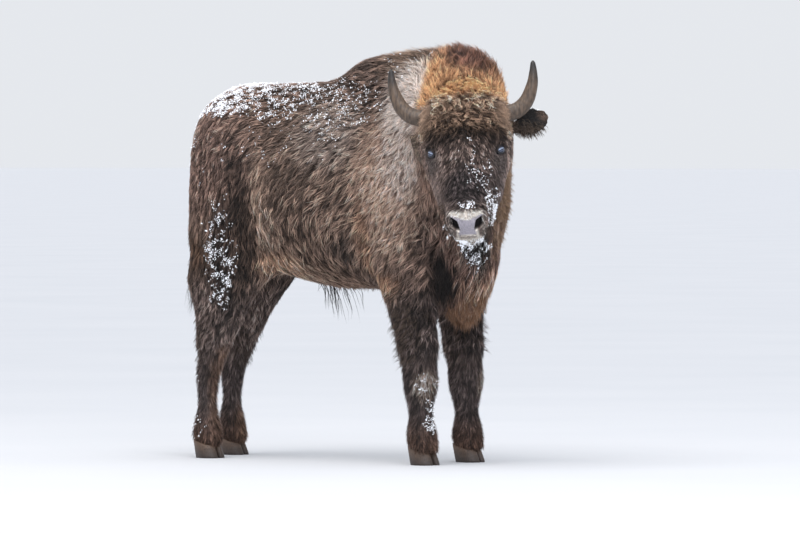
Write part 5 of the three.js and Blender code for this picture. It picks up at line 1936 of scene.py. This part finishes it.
DRIFTS = (
    Drift(B, (-830, -110, 1255), (210, 190, 110), 0.4, 5, 1.6),
    Drift(B, (-990, -150, 1120), (60, 100, 110), 0.1, 4, 1.2),
    Drift(B, (-620, -120, 1250), (220, 190, 120), 0.25, 2.6, 1.2),
    Drift(B, (-380, -150, 1210), (240, 160, 130), 0.21, 1.2, 0.6),
    Drift(B, (-520, -200, 1100), (360, 100, 110), 0.03, 1, 0.9),
    Drift(B, (-700, 130, 1260), (330, 150, 110), 0.1, 3, 0.9),
    Drift(B, (-120, -90, 1370), (150, 120, 80), 0.03, 1, 0.5),
    Drift(B, (-820, -220, 700), (84, 120, 200), 0.16, 3, 1.4),
    Drift(B, (-820, -220, 640), (50, 120, 60), 0.2, 6, 1.6),
    Drift(B, (-850, -230, 900), (100, 120, 120), 0.02, 1, 0.6),
    Drift(H, (190, 14, 10), (50, 34, 60), 0.03, 0.5, 0.4),
    Drift(H, (256, 48, -5), (74, 62, 60), 0.1, 0.7, 0.3),
    Drift(H, (345, 84, -84), (90, 30, 60), 0.2, 2, 1.3),
    Drift(H, (425, 0, -150), (50, 64, 36), 0.36, 4, 1.3),
    Drift(H, (448, 8, -184), (42, 58, 54), 0.7, 10, 1.5),
    Drift(H, (494, 24, -216), (44, 32, 44), 0.22, 5, 2.0),
    Drift(H, (420, -88, -120), (30, 26, 40), 0.1, 1.5, 1.2),
    Drift(H, (-42, 236, -92), (20, 42, 30), 0.22, 0.8, 0.4),
    Drift(H, (382, 4, -24), (22, 34, 36), 0.5, 2, 0.7),
    Drift(B, (45, -165, 272), (54, 64, 42), 0.1, 1, 0.6),
    Drift(B, (65, -150, 170), (40, 60, 90), 0.11, 3, 1.4),
    Drift(B, (-940, -165, 180), (60, 90, 160), 0.02, 2, 1.0),
)


@dataclass
class SnowDusting:
    """Dry snow caught on the tips of the coat, as small grains set by Geometry Nodes."""

    grain: float = 0.0018
    grain_sides: int = 4
    least: Triple = (0.45, 0.45, 0.45)  # a grain's scale
    most: Triple = (1.7, 1.7, 1.5)
    turn: float = 6.28
    seed: int = 5
    patchy: float = 52.0
    stray: float = 0.0034  # metres that grains stray off their tuft
    lift: float = 0.0012

    def tree(self) -> NodeTree:
        """Plans how a grain is set on every point of a mesh, and how all are joined.

        Returns:
            The node tree, with the grain's radius, the seed and the snow as inputs.
        """
        tree = bpy.data.node_groups.new("snow_grains", "GeometryNodeTree")
        sockets = ("Geometry", "Geometry"), ("Grain radius", "Float"), ("Seed", "Int"), ("Snow", "Material")
        for name, kind in sockets:
            tree.interface.new_socket(name, in_out="INPUT", socket_type="NodeSocket" + kind)
        tree.interface.new_socket("Geometry", in_out="OUTPUT", socket_type="NodeSocketGeometry")
        given = add_node(tree, "NodeGroupInput").outputs
        form = {"Radius": given["Grain radius"], "Segments": self.grain_sides, "Rings": 2}
        ball = add_node(tree, "GeometryNodeMeshUVSphere", form).outputs["Mesh"]
        setting = {"Points": given["Geometry"], "Instance": ball}
        ranges = (("Scale", self.least, self.most), ("Rotation", (0.0,) * 3, (self.turn,) * 3))
        for name, low, high in ranges:
            ends = {"Seed": given["Seed"], "Min": low, "Max": high}
            drawn = add_node(tree, "FunctionNodeRandomValue", ends, data_type="FLOAT_VECTOR")
            setting[name] = drawn.outputs["Value"]
        grains = add_node(tree, "GeometryNodeInstanceOnPoints", setting).outputs["Instances"]
        real = add_node(tree, "GeometryNodeRealizeInstances", {"Geometry": grains}).outputs["Geometry"]
        dressed = add_node(tree, "GeometryNodeSetMaterial", {"Geometry": real, "Material": given["Snow"]})
        add_node(tree, "NodeGroupOutput", {"Geometry": dressed.outputs["Geometry"]})
        return tree

    def points(self, grown: dict[str, Locks]) -> Array:
        """Picks the tips of tufts where snow lies, in small clumps and single grains.

        Args:
            grown: The coat's tufts.

        Returns:
            Where the grains lie, in metres.
        """
        rng = np.random.default_rng(SEED + 7)
        before = np.concatenate([locks.centres[:, -2] for locks in grown.values()])
        tips = np.concatenate([locks.centres[:, -1] for locks in grown.values()])
        ups = np.concatenate([locks.ups[:, -1] for locks in grown.values()])
        places = {space: STANCE.measured(tips, space) for space in Space}
        chance, clump = np.zeros(len(tips)), np.zeros(len(tips))
        ripple = 0.7 * mottle(tips / MM, self.patchy, 11) + 0.8 * mottle(tips / MM, 0.4 * self.patchy, 12)
        for drift in DRIFTS:
            away = np.linalg.norm((places[drift.space] - drift.centre) / drift.reach, axis=1)
            here = drift.amount * (1 - step_up(away, 0.5, 1.1)) * np.clip(0.6 + drift.patchy * ripple, 0, 2.4)
            clump = np.where(here > chance, drift.clump, clump)
            chance = np.maximum(chance, here)
        picked = np.flatnonzero(rng.random(len(tips)) < chance)
        # Each clump is a few grains pressed flat on the tips of its tuft.
        own = np.repeat(picked, rng.poisson(clump[picked]) + 1)
        stray = rng.normal(0, self.stray, (len(own), 3))
        stray -= 0.7 * (stray * ups[own]).sum(1, keepdims=True) * ups[own]
        along = rng.random((len(own), 1)) * 0.5
        return tips[own] * (1 - along) + before[own] * along + ups[own] * self.lift + stray

    def build(self, grown: dict[str, Locks]) -> Object:
        """Sets the grains and joins them into one mesh.

        Args:
            grown: The coat's tufts.

        Returns:
            The snow.
        """
        spots = self.points(grown)
        seeds = bpy.data.meshes.new("snow_seeds")
        seeds.vertices.add(len(spots))
        seeds.vertices.foreach_set("co", spots.astype(np.float32).ravel())
        holder = new_object("snow_seeds", seeds)
        maker = holder.modifiers.new("snow grains", "NODES")
        maker.node_group = self.tree()
        ends = maker.node_group.interface.items_tree
        named = {item.name: item.identifier for item in ends if item.in_out == "INPUT"}
        for name, value in (("Grain radius", self.grain), ("Seed", self.seed), ("Snow", SNOW)):
            maker[named[name]] = value
        mesh = bpy.data.meshes.new_from_object(holder.evaluated_get(bpy.context.evaluated_depsgraph_get()))
        bpy.data.objects.remove(holder)
        mesh.name = "snow_dusting"
        piece = new_object("snow_dusting", mesh)
        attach(piece, "root")
        log.info("snow: %d grains", len(spots))
        return piece


# ---- The studio ----


@dataclass
class Studio:
    """A plain pale floor, soft light from a high wide softbox, and the camera."""

    azimuth: float = 53.0  # the camera stands this far round to the animal's right of straight ahead
    distance: float = 24.0
    height: float = 1.05
    aside: float = 0.2165
    pitch: float = 0.919
    lens: float = 314.3
    aim_back: float = -464.0
    floor_half: float = 400.0
    floor_tones: tuple[str, str] = ("#cccfd3", "#d5d7da")
    lit: Triple = (0.0, 0.0, 0.8)  # where the softboxes look
    overcast: Triple = (0.45, 0.25, -1.0)  # the way that the wide light falls
    overcast_power: float = 1.5
    overcast_spread: float = 80.0
    surround: float = 0.92

    def camera(self) -> None:
        """A long lens at the height of the animal's face."""
        turn = math.radians(self.azimuth)
        towards = np.array([-math.sin(turn), -math.cos(turn), 0])
        right = np.array([math.cos(turn), -math.sin(turn), 0])
        place = STANCE.body(self.aim_back, 0, 0) + towards * self.distance + right * self.aside
        place = place + np.array([0, 0, self.height])
        data = bpy.data.cameras.new("camera")
        data.lens, data.sensor_width = self.lens, 36
        data.clip_end = 2000
        camera = new_object("camera", data)
        camera.location = place
        tilt = math.radians(self.pitch)
        look = Vector(-towards * math.cos(tilt) - np.array([0, 0, math.sin(tilt)]))
        camera.rotation_mode = "QUATERNION"
        camera.rotation_quaternion = look.to_track_quat("-Z", "Y")
        bpy.context.scene.camera = camera

    def floor(self) -> None:
        """Lays a wide matt floor, painted a cool white."""
        half = self.floor_half
        corners = np.array([[-half, -half, 0], [half, -half, 0], [half, half, 0], [-half, half, 0]])
        floor = new_object("floor", mesh_from("floor", corners, [np.array([[0, 1, 2, 3]])]))
        matt, tree, shader = start_material("matt_white_floor", {"Roughness": 0.9})
        place = add_node(tree, "ShaderNodeTexCoord").outputs["Object"]
        grain = add_node(tree, "ShaderNodeTexNoise", {"Vector": place, "Scale": 0.8, "Detail": 3.0})
        ends = {0: grain.outputs["Fac"], 6: rgba(self.floor_tones[0]), 7: rgba(self.floor_tones[1])}
        tone = add_node(tree, "ShaderNodeMix", ends, data_type="RGBA")
        tree.links.new(tone.outputs[2], shader["Base Color"])
        floor.data.materials.append(matt)

    def softbox(self, name: str, place: Triple, size: float, power: float, colour: str) -> None:
        """Hangs a square soft light that looks at the animal.

        Args:
            name: Its name.
            place: Where it hangs, in metres.
            size: Its side.
            power: Its power in watts.
            colour: Its tint.
        """
        data = bpy.data.lights.new(name, "AREA")
        data.shape, data.size, data.energy = "SQUARE", size, power
        data.color = linear(colour)
        lamp = new_object(name, data)
        lamp.location = place
        lamp.rotation_mode = "QUATERNION"
        lamp.rotation_quaternion = (Vector(self.lit) - Vector(place)).to_track_quat("-Z", "Y")

    def build(self) -> None:
        """Sets up camera, floor, lights and the pale surround."""
        self.camera()
        self.floor()
        self.softbox("key", (-2.6, -0.6, 6.2), 4.5, 150, "#fff8f0")
        self.softbox("catch", (-4.6, -5.6, 3.4), 2.6, 90, "#eaf1ff")
        data = bpy.data.lights.new("overcast", "SUN")
        data.energy, data.angle = self.overcast_power, math.radians(self.overcast_spread)
        data.color = linear("#fbfaff")
        lamp = new_object("overcast", data)
        lamp.rotation_mode = "QUATERNION"
        lamp.rotation_quaternion = Vector(self.overcast).to_track_quat("-Z", "Y")
        world = bpy.data.worlds.new("surround")
        world.use_nodes = True
        sky = world.node_tree.nodes["Background"]
        sky.inputs["Color"].default_value = rgba("#eef1f6")
        sky.inputs["Strength"].default_value = self.surround
        scene = bpy.context.scene
        scene.world = world
        scene.view_settings.view_transform = "Standard"


HAIR = KeratinHair().material()
HIDE = Hide().material()
HORN = Sheath("horn_sheath", "#62584e", grain=7.0).material()
HOOF = Sheath("hoof_wall", "#6e645c", grain=2.2, roughness=0.5).material()
EYE = WetEye().material()
SNOW = DrySnow().material()


def main() -> None:
    """Builds the studio and the bison, piece by piece."""
    logging.basicConfig(level=logging.INFO, format="%(message)s")
    Studio().build()
    skin = Skin()
    skin.build()
    log.info("skin: %d triangles", len(skin.triangles))
    pelt = Pelt(skin)
    grown = pelt.build()
    hung = LongHair(skin, pelt).build()
    horns, eyes, hooves = Horns(), Eyes(), Hooves()
    for side in Side:
        log.info("%s", horns.build(side).name)
        log.info("%s", eyes.ball(side).name)
        log.info("%s", eyes.lids(side).name)
    for node in hooves.names:
        log.info("%s", hooves.build(node).name)
    SnowDusting().build({**grown, **hung})


if __name__ == "__main__":
    main()
